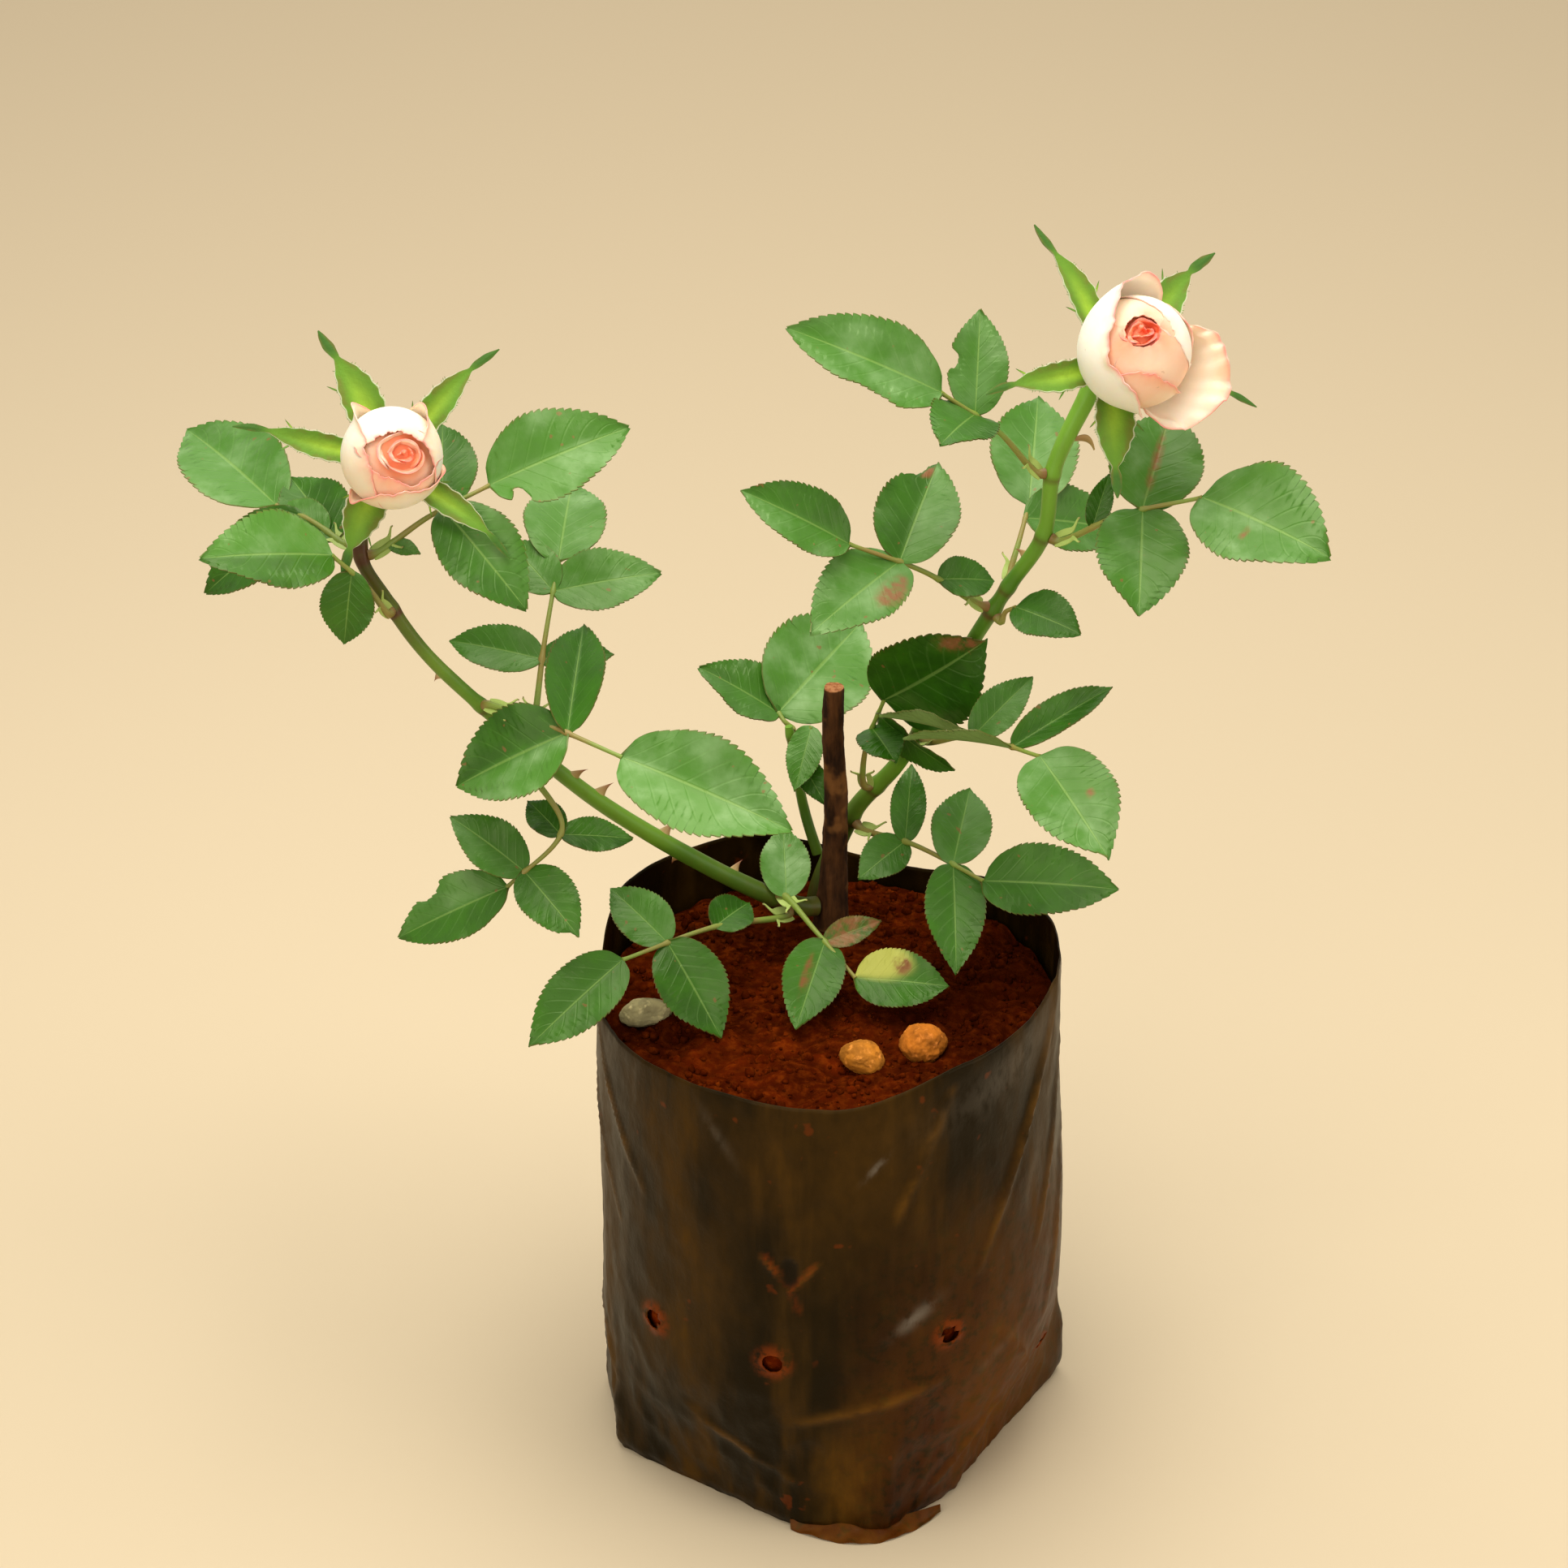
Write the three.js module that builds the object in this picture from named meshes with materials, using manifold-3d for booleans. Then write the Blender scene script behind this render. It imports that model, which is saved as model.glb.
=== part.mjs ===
// A young rose bush in a black polythene nursery bag of red soil: a cut-back rootstock stub,
// two long canes that each end in an opening bud, a short back shoot, and pinnate leaves.
// Units are millimetres, +Z is up, +X is to the right and -Y is the front.
// The origin is the middle of the bag's flat underside.
import * as THREE from 'three';
import { mergeVertices } from 'three/addons/utils/BufferGeometryUtils.js';
import Module from 'manifold-3d';

const wasm = await Module();
wasm.setup();

// Free space left between neighbouring pieces.
const clearance = 0.3;

// The bag: a round mouth of this radius over a folded, many-cornered bottom.
const bag = {
  mouthRadius: 72.5,
  wall: 1.0,
  blendHeight: 62,
  bulge: 3.5,
  sides: 32,
  wallHeights: [12, 30, 50, 80, 135],
  corners: [[-68, -25], [-9, -66], [19, -70], [42, -45], [80, 18], [50, 52], [4, 69], [-46, 52], [-72, 14]],
  rim: [[-180, 162], [-120, 165], [-90, 164], [-55, 173], [0, 178], [25, 176], [70, 167], [118, 180],
    [158, 181], [180, 162]],
  holeRadius: 3.2,
  holes: [[-104, 69], [-60, 76], [-139, 69], [-16, 40], [38, 72], [95, 68], [150, 74]],
};

const soil = { level: 160.2, frontRise: 0.8, lump: 1.3, footClear: 34 };

// Half-buried stones: place, half sizes and turn.
const stones = [
  { name: 'stone_orange', at: [28.5, -33.5], half: [7.2, 6.4, 5.8], turn: 20 },
  { name: 'stone_ochre', at: [10, -41], half: [6.6, 5.6, 4.4], turn: -30 },
  { name: 'stone_pale', at: [-57, -15], half: [8.5, 4.8, 4.4], turn: 12 },
];

// The cut-back rootstock: a rough upright stub with a flat cut on top.
const stub = {
  foot: [1.2, 41.5],
  path: [[0, 0, 0], [0, 0, 3], [0.2, 0, 8], [1.0, 0.5, 24], [1.2, 0.2, 48], [0.2, -0.8, 70], [0.4, -1.6, 87]],
  radii: [6.0, 4.9, 4.2, 3.9, 3.7, 3.5, 3.4, 3.3],
  sides: 9,
  steps: 7,
};

// The canes: centre lines from the crown up, with the radius at each point. A thorn is [height,
// angle round the cane from its upper side, length].
const canes = {
  left: {
    path: [[-3.75, 38.7, 168.8], [-8, 36.4, 169.9], [-20, 29.5, 178.8], [-38.5, 23, 193], [-72, 12.5, 222.5], [-104, 4.2, 258],
      [-122.5, 2.1, 280], [-132.8, 4, 296], [-140, 8.1, 308], [-138.5, 15, 319]],
    radii: [3.2, 3.0, 2.8, 2.7, 2.5, 2.3, 2.1, 2.0, 2.0, 2.0, 2.2],
    thorns: [[187, 20, 4.5], [199, 150, 4.5], [205, 10, 5.5], [223, 5, 5.5], [231, -15, 5], [272, 150, 4.5]],
  },
  right: {
    path: [[-3.6, 50.8, 160.8], [-3.4, 50.9, 163.5], [-2, 51.6, 170], [2, 53, 181], [9.5, 52, 198], [21.5, 46.4, 216], [34, 40.1, 242],
      [45, 34.2, 268], [54.5, 30.5, 287], [64.5, 27.7, 306], [67, 28, 328], [76, 31, 349]],
    radii: [3.5, 3.2, 2.9, 2.6, 2.4, 2.3, 2.3, 2.3, 2.3, 2.4, 2.7, 3.3],
    thorns: [[222, 165, 4], [256, 20, 4.5], [297, -30, 4]],
  },
  back: {
    path: [[-3, 56.2, 178], [-7, 60.5, 190], [-10, 61, 206], [-12.5, 61.5, 222]],
    radii: [1.8, 1.7, 1.5, 1.2],
    thorns: [],
  },
};

// The two opening buds: middle of the ball, radius and the way each one faces.
const blooms = {
  left: { centre: [-128.7, 2.8, 343.1], radius: 15.0, facing: [0.147, -0.87, 0.476], hip: 6.5 },
  right: { centre: [88.5, 13.5, 371.7], radius: 16.6, facing: [0.336, -0.748, 0.575], hip: 7.0 },
};

// Sepals: angle round the bloom (0 is to the right, 90 is up), length and width of each.
const sepals = {
  left: [[112, 43, 12], [43, 46, 9], [165, 47, 8], [240, 37, 12], [318, 46, 8]],
  right: [[107, 47, 9], [36, 48, 12], [184, 44, 9], [252, 41, 13], [335, 46, 7]],
};

// Outer petals: angle round the bloom, span, how near the top they reach, and how far they flare.
const outerPetals = {
  left: [[180, 120, 62, 0.02], [5, 90, 66, 0.04], [270, 120, 60, 0.03], [90, 110, 58, 0]],
  right: [[150, 150, 50, 0.04], [50, 100, 58, 0], [250, 100, 62, 0.05], [320, 95, 70, 0.6]],
};

// A leaf is carried at a height on its cane and reaches out by a heading (0 is +X, 90 is away
// from the front) and a rise; foot, where given, is the angle round the cane that it leaves from,
// and bow is how far its stalk bends to the left. Each leaflet is [share of the stalk, length,
// width, turn from the stalk, lift, roll, fold]; roll and fold may be left out.
const leafRows = [
  { name: 'left_leaf_1', cane: 'left', height: 174, foot: -110, reach: 75, heading: -132, rise: 9, leaflets: [
    [1, 39, 22, 14, -28], [0.76, 26, 18, -80, -5], [0.76, 34, 23, 88, -2], [0.5, 20, 15, -165, 6]] },
  { name: 'left_leaf_2', cane: 'left', height: 243, reach: 43, heading: -106, rise: -52, bow: 14, leaflets: [
    [1, 38, 22, -60, -10], [0.86, 28, 18, -120, 10], [0.86, 27, 19, 50, 20], [0.55, 17, 12, -130, -20],
    [0.55, 24, 12, 100, -20]] },
  { name: 'left_leaf_3', cane: 'left', height: 245, reach: 60, heading: 78, rise: 44, leaflets: [
    [1, 38, 27, 2, -22], [0.82, 34, 22, -69, 2], [0.82, 24, 17, 46, -8], [0.43, 31, 17, 81, -8],
    [0.43, 23, 13, -71, -8]] },
  { name: 'left_leaf_4', cane: 'left', height: 260, reach: 51, heading: -31, rise: -4, leaflets: [
    [1, 56, 34, 2, -5], [0.62, 39, 31, -138, -10], [0.62, 46, 22, 115, -5, 0, 35]] },
  { name: 'left_leaf_5', cane: 'left', height: 293, reach: 30, heading: -145, rise: 50, leaflets: [
    [1, 41, 27, 33, -12], [0.72, 23, 17, 130, -15]] },
  { name: 'left_leaf_6', cane: 'left', height: 308, reach: 44, heading: 13, rise: 26, leaflets: [
    [1, 45, 31, -3, -5], [0.63, 39, 26, -78, -12], [0.63, 34, 22, 68, -13],
    [0.18, 11, 6, -50, 17]] },
  { name: 'left_leaf_7', cane: 'left', height: 311, reach: 34, heading: 143, rise: 6, leaflets: [
    [1, 59, 31, -15, -5], [0.62, 42, 22, 53, -20], [0.33, 22, 15, 5, 5], [0.2, 33, 22, -22, 2]] },
  { name: 'crown_leaf', cane: 'left', height: 177, foot: -60, reach: 48, heading: -57, rise: -7, leaflets: [
    [1, 29, 21, 48, -2], [0.62, 35, 20, -46, 4], [0.62, 19, 10, 74, 6], [0.08, 25, 17, 146, 24]] },
  { name: 'back_leaf_1', cane: 'back', height: 212, reach: 11, foot: -50, heading: 12, rise: 58, leaflets: [
    [1, 23, 12, -160, 36], [0.15, 18, 10, -115, 20]] },
  { name: 'back_leaf_2', cane: 'back', height: 219, foot: 90, reach: 9, heading: 120, rise: 30, leaflets: [
    [1, 50, 38, -70, -10, 10], [0.93, 30, 24, 30, 20, 20]] },
  { name: 'right_leaf_1', cane: 'right', height: 194, reach: 62, heading: -49, rise: 3, leaflets: [
    [1, 43, 26, 27, -4], [0.78, 31, 20, 118, 9], [0.78, 37, 20, -49, -12], [0.42, 27, 12, 118, 24],
    [0.42, 20, 15, -92, 10]] },
  { name: 'right_leaf_2', cane: 'right', height: 207, foot: 60, reach: 38, heading: -80, rise: 74, bow: 3,
    leaflets: [[1, 42, 38, -40, 10, 60], [0.85, 30, 20, -108, 30, 90], [0.7, 20, 16, -60, 60]] },
  { name: 'right_leaf_3', cane: 'right', height: 231, reach: 75, heading: -62, rise: 19, leaflets: [
    [1, 42, 30, -18, -31], [0.8, 38, 14, 83, -4, 0, 35], [0.8, 34, 16, -147, 32, 70],
    [0.5, 26, 14, 74, 14], [0.5, 33, 16, -162, 29, 70]] },
  { name: 'right_leaf_4', cane: 'right', height: 278, reach: 10, heading: -41, rise: 24, leaflets: [
    [1, 24, 18, -33, -17]] },
  { name: 'right_leaf_5', cane: 'right', height: 279, reach: 61, heading: -152, rise: 33, leaflets: [
    [1, 37, 22, -12, -8], [0.68, 40, 27, -106, 8], [0.68, 41, 26, 45, -8], [0.4, 20, 15, -165, 22]] },
  { name: 'right_leaf_6', cane: 'right', height: 287, reach: 32, heading: 75, rise: 28, leaflets: [
    [1, 44, 29, 8, 0], [0.8, 36, 25, -66, -16]] },
  { name: 'right_leaf_7', cane: 'right', height: 306, reach: 53, heading: -22, rise: 23, leaflets: [
    [1, 44, 38, -32, -8], [0.64, 37, 30, 77, -8], [0.64, 36, 29, -88, 8], [0.3, 17, 8, 60, 14]] },
  { name: 'right_leaf_8', cane: 'right', height: 326, reach: 49, heading: -159, rise: 41, leaflets: [
    [1, 50, 28, 2, -17], [0.72, 32, 19, -66, 8], [0.72, 30, 22, 48, 24]] },
];

// What all leaves share: leaflets are thin, a little folded, and face the light.
const leaf = {
  light: new THREE.Vector3(0.05, -0.6, 0.8).normalize(),
  thickness: 0.7,
  stations: [0, 0.09, 0.32, 0.6, 0.84, 1],
  widest: 0.44,
  tipPower: 2.0,
  neck: 0.5,
  fold: 14,
  droop: 0.12,
  stalkRadii: [1.25, 0.95, 0.75],
  stalkSides: 4,
  stalkSteps: 5,
  sag: 0.05,
  spur: 2,
};

const radians = THREE.MathUtils.degToRad;
const vector = ([x, y, z]) => new THREE.Vector3(x, y, z);

// A vector of unit length at a heading round +Z and a rise above the level.
function pointing(heading, rise) {
  const level = Math.cos(radians(rise));
  return new THREE.Vector3(level * Math.cos(radians(heading)), level * Math.sin(radians(heading)),
    Math.sin(radians(rise)));
}

// The part of a vector that is square to a unit direction, at unit length.
function squareTo(direction, aim) {
  return aim.clone().addScaledVector(direction, -aim.dot(direction)).normalize();
}

// The way out of a cane at an angle round it, measured from its upper side.
function roundCane(tangent, angle) {
  return squareTo(tangent, new THREE.Vector3(0, 0, 1)).applyAxisAngle(tangent, radians(angle));
}

// The value at a share (0 to 1) along a list of evenly spaced values.
function along(values, share) {
  const place = Math.min(Math.max(share, 0), 1) * (values.length - 1);
  const step = Math.min(Math.floor(place), values.length - 2);
  return THREE.MathUtils.lerp(values[step], values[step + 1], place - step);
}

// A closed geometry becomes a solid that can be joined and cut.
function toSolid(geometry) {
  const bare = geometry.clone();
  bare.deleteAttribute('normal');
  bare.deleteAttribute('uv');
  const merged = mergeVertices(bare, 1e-4);
  const solid = new wasm.Manifold(new wasm.Mesh({
    numProp: 3,
    vertProperties: new Float32Array(merged.attributes.position.array),
    triVerts: new Uint32Array(merged.index.array),
  }));
  return solid;
}

// A solid goes back to a geometry.
function toGeometry(solid) {
  const mesh = solid.getMesh();
  const geometry = new THREE.BufferGeometry();
  geometry.setAttribute('position', new THREE.BufferAttribute(new Float32Array(mesh.vertProperties), 3));
  geometry.setIndex(new THREE.BufferAttribute(new Uint32Array(mesh.triVerts), 1));
  return geometry;
}

// Every vertex of a geometry is moved by a function of its place.
function reshape(geometry, move) {
  const places = geometry.attributes.position;
  for (let i = 0; i < places.count; i += 1) {
    const spot = new THREE.Vector3().fromBufferAttribute(places, i);
    const moved = move(spot);
    places.setXYZ(i, moved.x, moved.y, moved.z);
  }
  return geometry;
}

// A round limb that follows a curve and takes its radius from a list along it.
function limb(curve, radii, sides, steps) {
  const frames = curve.computeFrenetFrames(steps, false);
  return reshape(new THREE.CylinderGeometry(1, 1, 1, sides, steps), (spot) => {
    const share = spot.y + 0.5;
    const step = Math.round(share * steps);
    const across = frames.normals[step];
    const side = across.clone().cross(frames.tangents[step]);
    const radius = along(radii, share);
    return curve.getPointAt(share)
      .addScaledVector(across, spot.x * radius)
      .addScaledVector(side, spot.z * radius);
  });
}

// Half width of a leaflet, as a share of its greatest, at a share of its length.
function leafletSpread(share) {
  if (share < leaf.widest) {
    const back = (leaf.widest - share) / leaf.widest;
    return Math.sqrt(Math.max(0, 1 - back * back));
  }
  return 1 - ((share - leaf.widest) / (1 - leaf.widest)) ** leaf.tipPower;
}

// One leaflet: a thin blade folded up along its midrib, drooping to its tip.
function leafletSolid(base, direction, normal, length, width, fold) {
  const last = leaf.stations.length - 1;
  const blade = new THREE.BoxGeometry(1, 1, 1, 2, last, 1);
  const side = direction.clone().cross(normal);
  reshape(blade, (spot) => {
    const share = leaf.stations[Math.round((spot.y + 0.5) * last)];
    const half = Math.max(leafletSpread(share) * width / 2, leaf.neck);
    const out = 2 * spot.x * half;
    const drop = leaf.droop * length * share * share;
    const up = Math.abs(out) * Math.tan(radians(fold)) - drop + spot.z * leaf.thickness;
    return base.clone()
      .addScaledVector(side, out * Math.cos(radians(fold)))
      .addScaledVector(direction, share * length)
      .addScaledVector(normal, up);
  });
  return toSolid(blade);
}

function curveOf(points) {
  return new THREE.CatmullRomCurve3(points, false, 'centripetal');
}

// The share of a rising curve at which it passes a height.
function shareAtHeight(curve, height) {
  let low = 0;
  let high = 1;
  for (let i = 0; i < 30; i += 1) {
    const middle = (low + high) / 2;
    if (curve.getPointAt(middle).z < height) {
      low = middle;
    } else {
      high = middle;
    }
  }
  return (low + high) / 2;
}

// A whole leaf: a stalk with its leaflets sunk into it.
function leafSolid(row, cane) {
  const share = shareAtHeight(cane.curve, row.height);
  const tangent = cane.curve.getTangentAt(share);
  const reach = pointing(row.heading, row.rise);
  const away = row.foot === undefined ? squareTo(tangent, reach) : roundCane(tangent, row.foot);
  const start = cane.curve.getPointAt(share)
    .addScaledVector(away, along(cane.radii, share) + clearance + 0.35);
  const end = cane.curve.getPointAt(share).addScaledVector(reach, row.reach);
  const chord = end.clone().sub(start).normalize();
  const normal = squareTo(chord, leaf.light);
  const left = normal.clone().cross(chord);
  const middle = start.clone().lerp(end, 0.5)
    .addScaledVector(left, row.bow ?? 0)
    .addScaledVector(normal, leaf.sag * row.reach);
  const first = start.clone().addScaledVector(away, leaf.spur);
  const stalk = curveOf([start, first, middle, end]);
  let whole = toSolid(limb(stalk, leaf.stalkRadii, leaf.stalkSides, leaf.stalkSteps));
  for (const [at, length, width, turn, lift, roll, fold] of row.leaflets) {
    const flat = chord.clone().multiplyScalar(Math.cos(radians(turn)))
      .addScaledVector(left, Math.sin(radians(turn)));
    const direction = flat.multiplyScalar(Math.cos(radians(lift)))
      .addScaledVector(normal, Math.sin(radians(lift)));
    const face = squareTo(direction, leaf.light).applyAxisAngle(direction, radians(roll ?? 0));
    const root = stalk.getPointAt(at).addScaledVector(direction, -0.3);
    whole = whole.add(leafletSolid(root, direction, face, length, width, fold ?? leaf.fold));
  }
  return whole;
}

// A cane with its thorns.
function caneSolid(cane) {
  let whole = toSolid(limb(cane.curve, cane.radii, 8, cane.steps));
  for (const [height, angle, length] of cane.thorns) {
    const share = shareAtHeight(cane.curve, height);
    const tangent = cane.curve.getTangentAt(share);
    const out = roundCane(tangent, angle);
    const radius = along(cane.radii, share);
    const thorn = new THREE.ConeGeometry(length * 0.28, length + 1, 4);
    thorn.translate(0, (length + 1) / 2 + radius - 1, 0);
    thorn.applyMatrix4(new THREE.Matrix4().makeBasis(tangent.clone(), out, tangent.clone().cross(out))
      .setPosition(cane.curve.getPointAt(share)));
    whole = whole.add(toSolid(thorn));
  }
  return whole;
}

// Where the bag's outside lies at an angle on the floor: the nearest side of its folded bottom.
function bottomRadius(angle) {
  const aim = new THREE.Vector2(Math.cos(angle), Math.sin(angle));
  let radius = 0;
  bag.corners.forEach((corner, i) => {
    const from = new THREE.Vector2(...corner);
    const next = new THREE.Vector2(...bag.corners[(i + 1) % bag.corners.length]);
    const edge = next.clone().sub(from);
    const across = aim.cross(edge);
    const reach = from.cross(edge) / across;
    const place = from.cross(aim) / across;
    if (reach > 0 && place >= -1e-9 && place <= 1 + 1e-9) {
      radius = Math.max(radius, reach);
    }
  });
  return radius;
}

// The bag's outside radius at an angle and height: folded at the floor, round at the mouth.
function bagRadius(angle, height) {
  const share = THREE.MathUtils.smoothstep(height, 0, bag.blendHeight);
  const swell = bag.bulge * Math.sin(Math.PI * Math.min(height / bag.mouthRadius / 1.9, 1))
    * Math.max(0, Math.cos(angle));
  return THREE.MathUtils.lerp(bottomRadius(angle), bag.mouthRadius, share) + swell;
}

// The height of the wavy rim at an angle.
function rimHeight(angle) {
  let degrees = THREE.MathUtils.radToDeg(angle);
  degrees -= 360 * Math.round(degrees / 360);
  const next = Math.max(1, bag.rim.findIndex(([place]) => place >= degrees));
  const [from, low] = bag.rim[next - 1];
  const [to, high] = bag.rim[next];
  return THREE.MathUtils.lerp(low, high, THREE.MathUtils.smoothstep(degrees, from, to));
}

// A turned shape about +Z from an outline of [radius, height] given as shares, then reshaped.
function turned(outline, sides, move) {
  const lathe = new THREE.LatheGeometry(outline.map(([r, z]) => new THREE.Vector2(r, z)), sides);
  lathe.rotateX(Math.PI / 2);
  return reshape(lathe, (spot) => {
    const radius = Math.hypot(spot.x, spot.y);
    return radius < 1e-6 ? move(0, 0, spot.z) : move(Math.atan2(spot.y, spot.x), radius, spot.z);
  });
}

// The inside or outside of the bag as a solid block: its wall moved in by an inset, from a floor
// height up to a top that is a function of the angle.
function bagBlock(inset, floor, topHeight) {
  const top = 1000;
  const outline = [[0, floor], [1, floor]];
  bag.wallHeights.forEach((height) => outline.push([1, height]));
  outline.push([1, top], [0, top]);
  return toSolid(turned(outline, bag.sides, (angle, row, height) => {
    const z = height === top ? topHeight(angle) : height;
    const radius = row === 0 ? 0 : bagRadius(angle, z) - inset;
    return new THREE.Vector3(radius * Math.cos(angle), radius * Math.sin(angle), z);
  }));
}

// The bag: one block less another, with its drain holes.
function bagSolid() {
  let whole = bagBlock(0, 0, rimHeight)
    .subtract(bagBlock(bag.wall, bag.wall, (angle) => rimHeight(angle) + 10));
  for (const [degrees, height] of bag.holes) {
    const angle = radians(degrees);
    const punch = new THREE.CylinderGeometry(bag.holeRadius, bag.holeRadius, 10, 6);
    punch.rotateZ(Math.PI / 2);
    punch.translate(bagRadius(angle, height), 0, 0);
    punch.rotateZ(angle);
    punch.translate(0, 0, height);
    whole = whole.subtract(toSolid(punch));
  }
  return whole;
}

// The height of the soil's surface: lumpy, rising to the front, level round the plant's foot.
function soilHeight(x, y) {
  const toFoot = Math.hypot(x - stub.foot[0], y - stub.foot[1]);
  const rough = THREE.MathUtils.smoothstep(toFoot, soil.footClear, soil.footClear * 2);
  const lumps = Math.sin(x * 0.17 + 1) * Math.cos(y * 0.21) + 0.6 * Math.sin(x * 0.31 - y * 0.23);
  return soil.level + rough * (soil.lump * lumps - soil.frontRise * y / bag.mouthRadius);
}

function soilSolid() {
  const top = 1000;
  const inset = bag.wall + clearance + 0.15;
  const outline = [[0, bag.wall + clearance], [1, bag.wall + clearance]];
  bag.wallHeights.forEach((height) => outline.push([1, height]));
  [1, 0.82, 0.64, 0.46, 0.24, 0].forEach((row) => outline.push([row, top]));
  let whole = toSolid(turned(outline, bag.sides, (angle, row, height) => {
    const radius = row * (bagRadius(angle, Math.min(height, soil.level)) - inset);
    const x = radius * Math.cos(angle);
    const y = radius * Math.sin(angle);
    return new THREE.Vector3(x, y, height === top ? soilHeight(x, y) : height);
  }));
  for (const stone of stones) {
    whole = whole.subtract(toSolid(stoneGeometry(stone, clearance + 0.15)));
  }
  return whole;
}

// A stone: a lumpy ball, half sunk in the soil.
function stoneGeometry(stone, grow) {
  const [x, y] = stone.at;
  const ball = new THREE.IcosahedronGeometry(1, 1);
  reshape(ball, (spot) => {
    const lump = 1 + 0.12 * Math.sin(spot.x * 4 + spot.y * 3 + x) * Math.cos(spot.z * 3 + y);
    return spot.multiplyScalar(lump).multiply(vector(stone.half.map((half) => half + grow)));
  });
  ball.rotateZ(radians(stone.turn));
  ball.translate(x, y, soilHeight(x, y) + stone.half[2] * 0.25);
  return ball;
}

// The frame of a bloom: its facing, and what is up and right as seen from its front.
function bloomFrame(bloom) {
  const facing = vector(bloom.facing).normalize();
  const up = squareTo(facing, new THREE.Vector3(0, 0, 1));
  return { facing, up, right: up.clone().cross(facing) };
}

// How far behind its middle a bloom's ball ends on the hip.
const seatDepth = (bloom) => bloom.radius * 0.9;

// The green hip with its sepals, as one solid.
function calyxSolid(bloom, rows) {
  const { facing, up, right } = bloomFrame(bloom);
  const centre = vector(bloom.centre);
  const seat = centre.clone().addScaledVector(facing, -seatDepth(bloom) - clearance);
  const hipRadius = bloom.radius * 0.33;
  const outline = [[0, -1], [0.6, -1], [0.85, -0.75], [1, -0.4], [0.92, -0.12], [0.8, 0], [0, 0]];
  const hip = new THREE.LatheGeometry(
    outline.map(([r, z]) => new THREE.Vector2(r * hipRadius, z * bloom.hip)), 8);
  hip.applyMatrix4(new THREE.Matrix4().makeBasis(right, facing, right.clone().cross(facing))
    .setPosition(seat));
  let whole = toSolid(hip);
  for (const [angle, length, width] of rows) {
    const out = right.clone().multiplyScalar(Math.cos(radians(angle)))
      .addScaledVector(up, Math.sin(radians(angle)));
    const steps = 5;
    const blade = new THREE.BoxGeometry(1, 1, 1, 2, steps, 1);
    const side = out.clone().cross(facing);
    reshape(blade, (spot) => {
      const share = spot.y + 0.5;
      const spread = Math.max(Math.sin(Math.PI * Math.min(0.2 + share * 0.85, 1)) ** 0.8, 0.06);
      const half = spot.x * width * spread;
      const rise = 0.1 * length * Math.sin(Math.PI * 0.6 * share) - 0.06 * bloom.radius;
      const far = hipRadius * 0.5 + share * (length - hipRadius * 0.5);
      return seat.clone()
        .addScaledVector(out, far)
        .addScaledVector(side, half)
        .addScaledVector(facing, rise - 0.6 + spot.z * leaf.thickness - Math.abs(half) * 0.25);
    });
    whole = whole.add(toSolid(blade));
  }
  return whole;
}

// The petals: a closed, pointed ball with a ring of overlapping outer petals round it.
function petalSolid(bloom, open) {
  const { facing, up, right } = bloomFrame(bloom);
  const size = bloom.radius;
  const frame = new THREE.Matrix4().makeBasis(right, facing, right.clone().cross(facing))
    .setPosition(vector(bloom.centre));
  const outline = [[0, -0.9], [0.26, -0.9], [0.64, -0.68], [0.88, -0.25], [0.88, 0.2], [0.62, 0.68],
    [0.42, 0.82], [0.3, 0.62], [0.14, 0.88], [0, 0.92]];
  const core = new THREE.LatheGeometry(outline.map(([r, z]) => new THREE.Vector2(r * size, z * size)), 12);
  let whole = toSolid(core.applyMatrix4(frame));
  for (const [angle, span, top, flare] of open) {
    const blade = new THREE.BoxGeometry(1, 1, 1, 3, 4, 1);
    reshape(blade, (spot) => {
      const share = spot.y + 0.5;
      const polar = THREE.MathUtils.lerp(150, top, share) * Math.PI / 180;
      const waist = Math.sqrt(Math.max(0.1, Math.sin(Math.PI * Math.min(0.12 + share * 0.72, 1))));
      const turn = radians(angle) + spot.x * radians(span) * waist;
      const away = size * (0.85 + flare * share * share + spot.z * 0.28);
      const ring = away * Math.sin(polar);
      return new THREE.Vector3(ring * Math.cos(turn), away * Math.cos(polar) * (1 - 0.35 * flare),
        -ring * Math.sin(turn));
    });
    whole = whole.add(toSolid(blade.applyMatrix4(frame)));
  }
  return whole;
}

const colours = {
  film: [0x1f1a16, 0.5],
  earth: [0x7a2a10, 0.95],
  pebble: [0xb8682c, 0.9],
  pale: [0xb0a582, 0.9],
  bark: [0x4a2e1c, 0.9],
  cane: [0x567a30, 0.6],
  foliage: [0x3f7040, 0.55],
  sepal: [0x6f9c3c, 0.6],
  petal: [0xf6cdb8, 0.6],
};

const bush = new THREE.Group();

function place(name, geometry, [color, roughness]) {
  const material = new THREE.MeshStandardMaterial({ color, roughness, metalness: 0 });
  const mesh = new THREE.Mesh(geometry, material);
  mesh.name = name;
  bush.add(mesh);
}

place('nursery_bag', toGeometry(bagSolid()), colours.film);
place('soil', toGeometry(soilSolid()), colours.earth);
for (const stone of stones) {
  const look = stone.name === 'stone_pale' ? colours.pale : colours.pebble;
  place(stone.name, toGeometry(toSolid(stoneGeometry(stone, 0))), look);
}

const foot = new THREE.Vector3(...stub.foot, soil.level + clearance);
const stubCurve = curveOf(stub.path.map((point) => vector(point).add(foot)));
place('rootstock_stub', toGeometry(toSolid(limb(stubCurve, stub.radii, stub.sides, stub.steps))), colours.bark);

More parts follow.
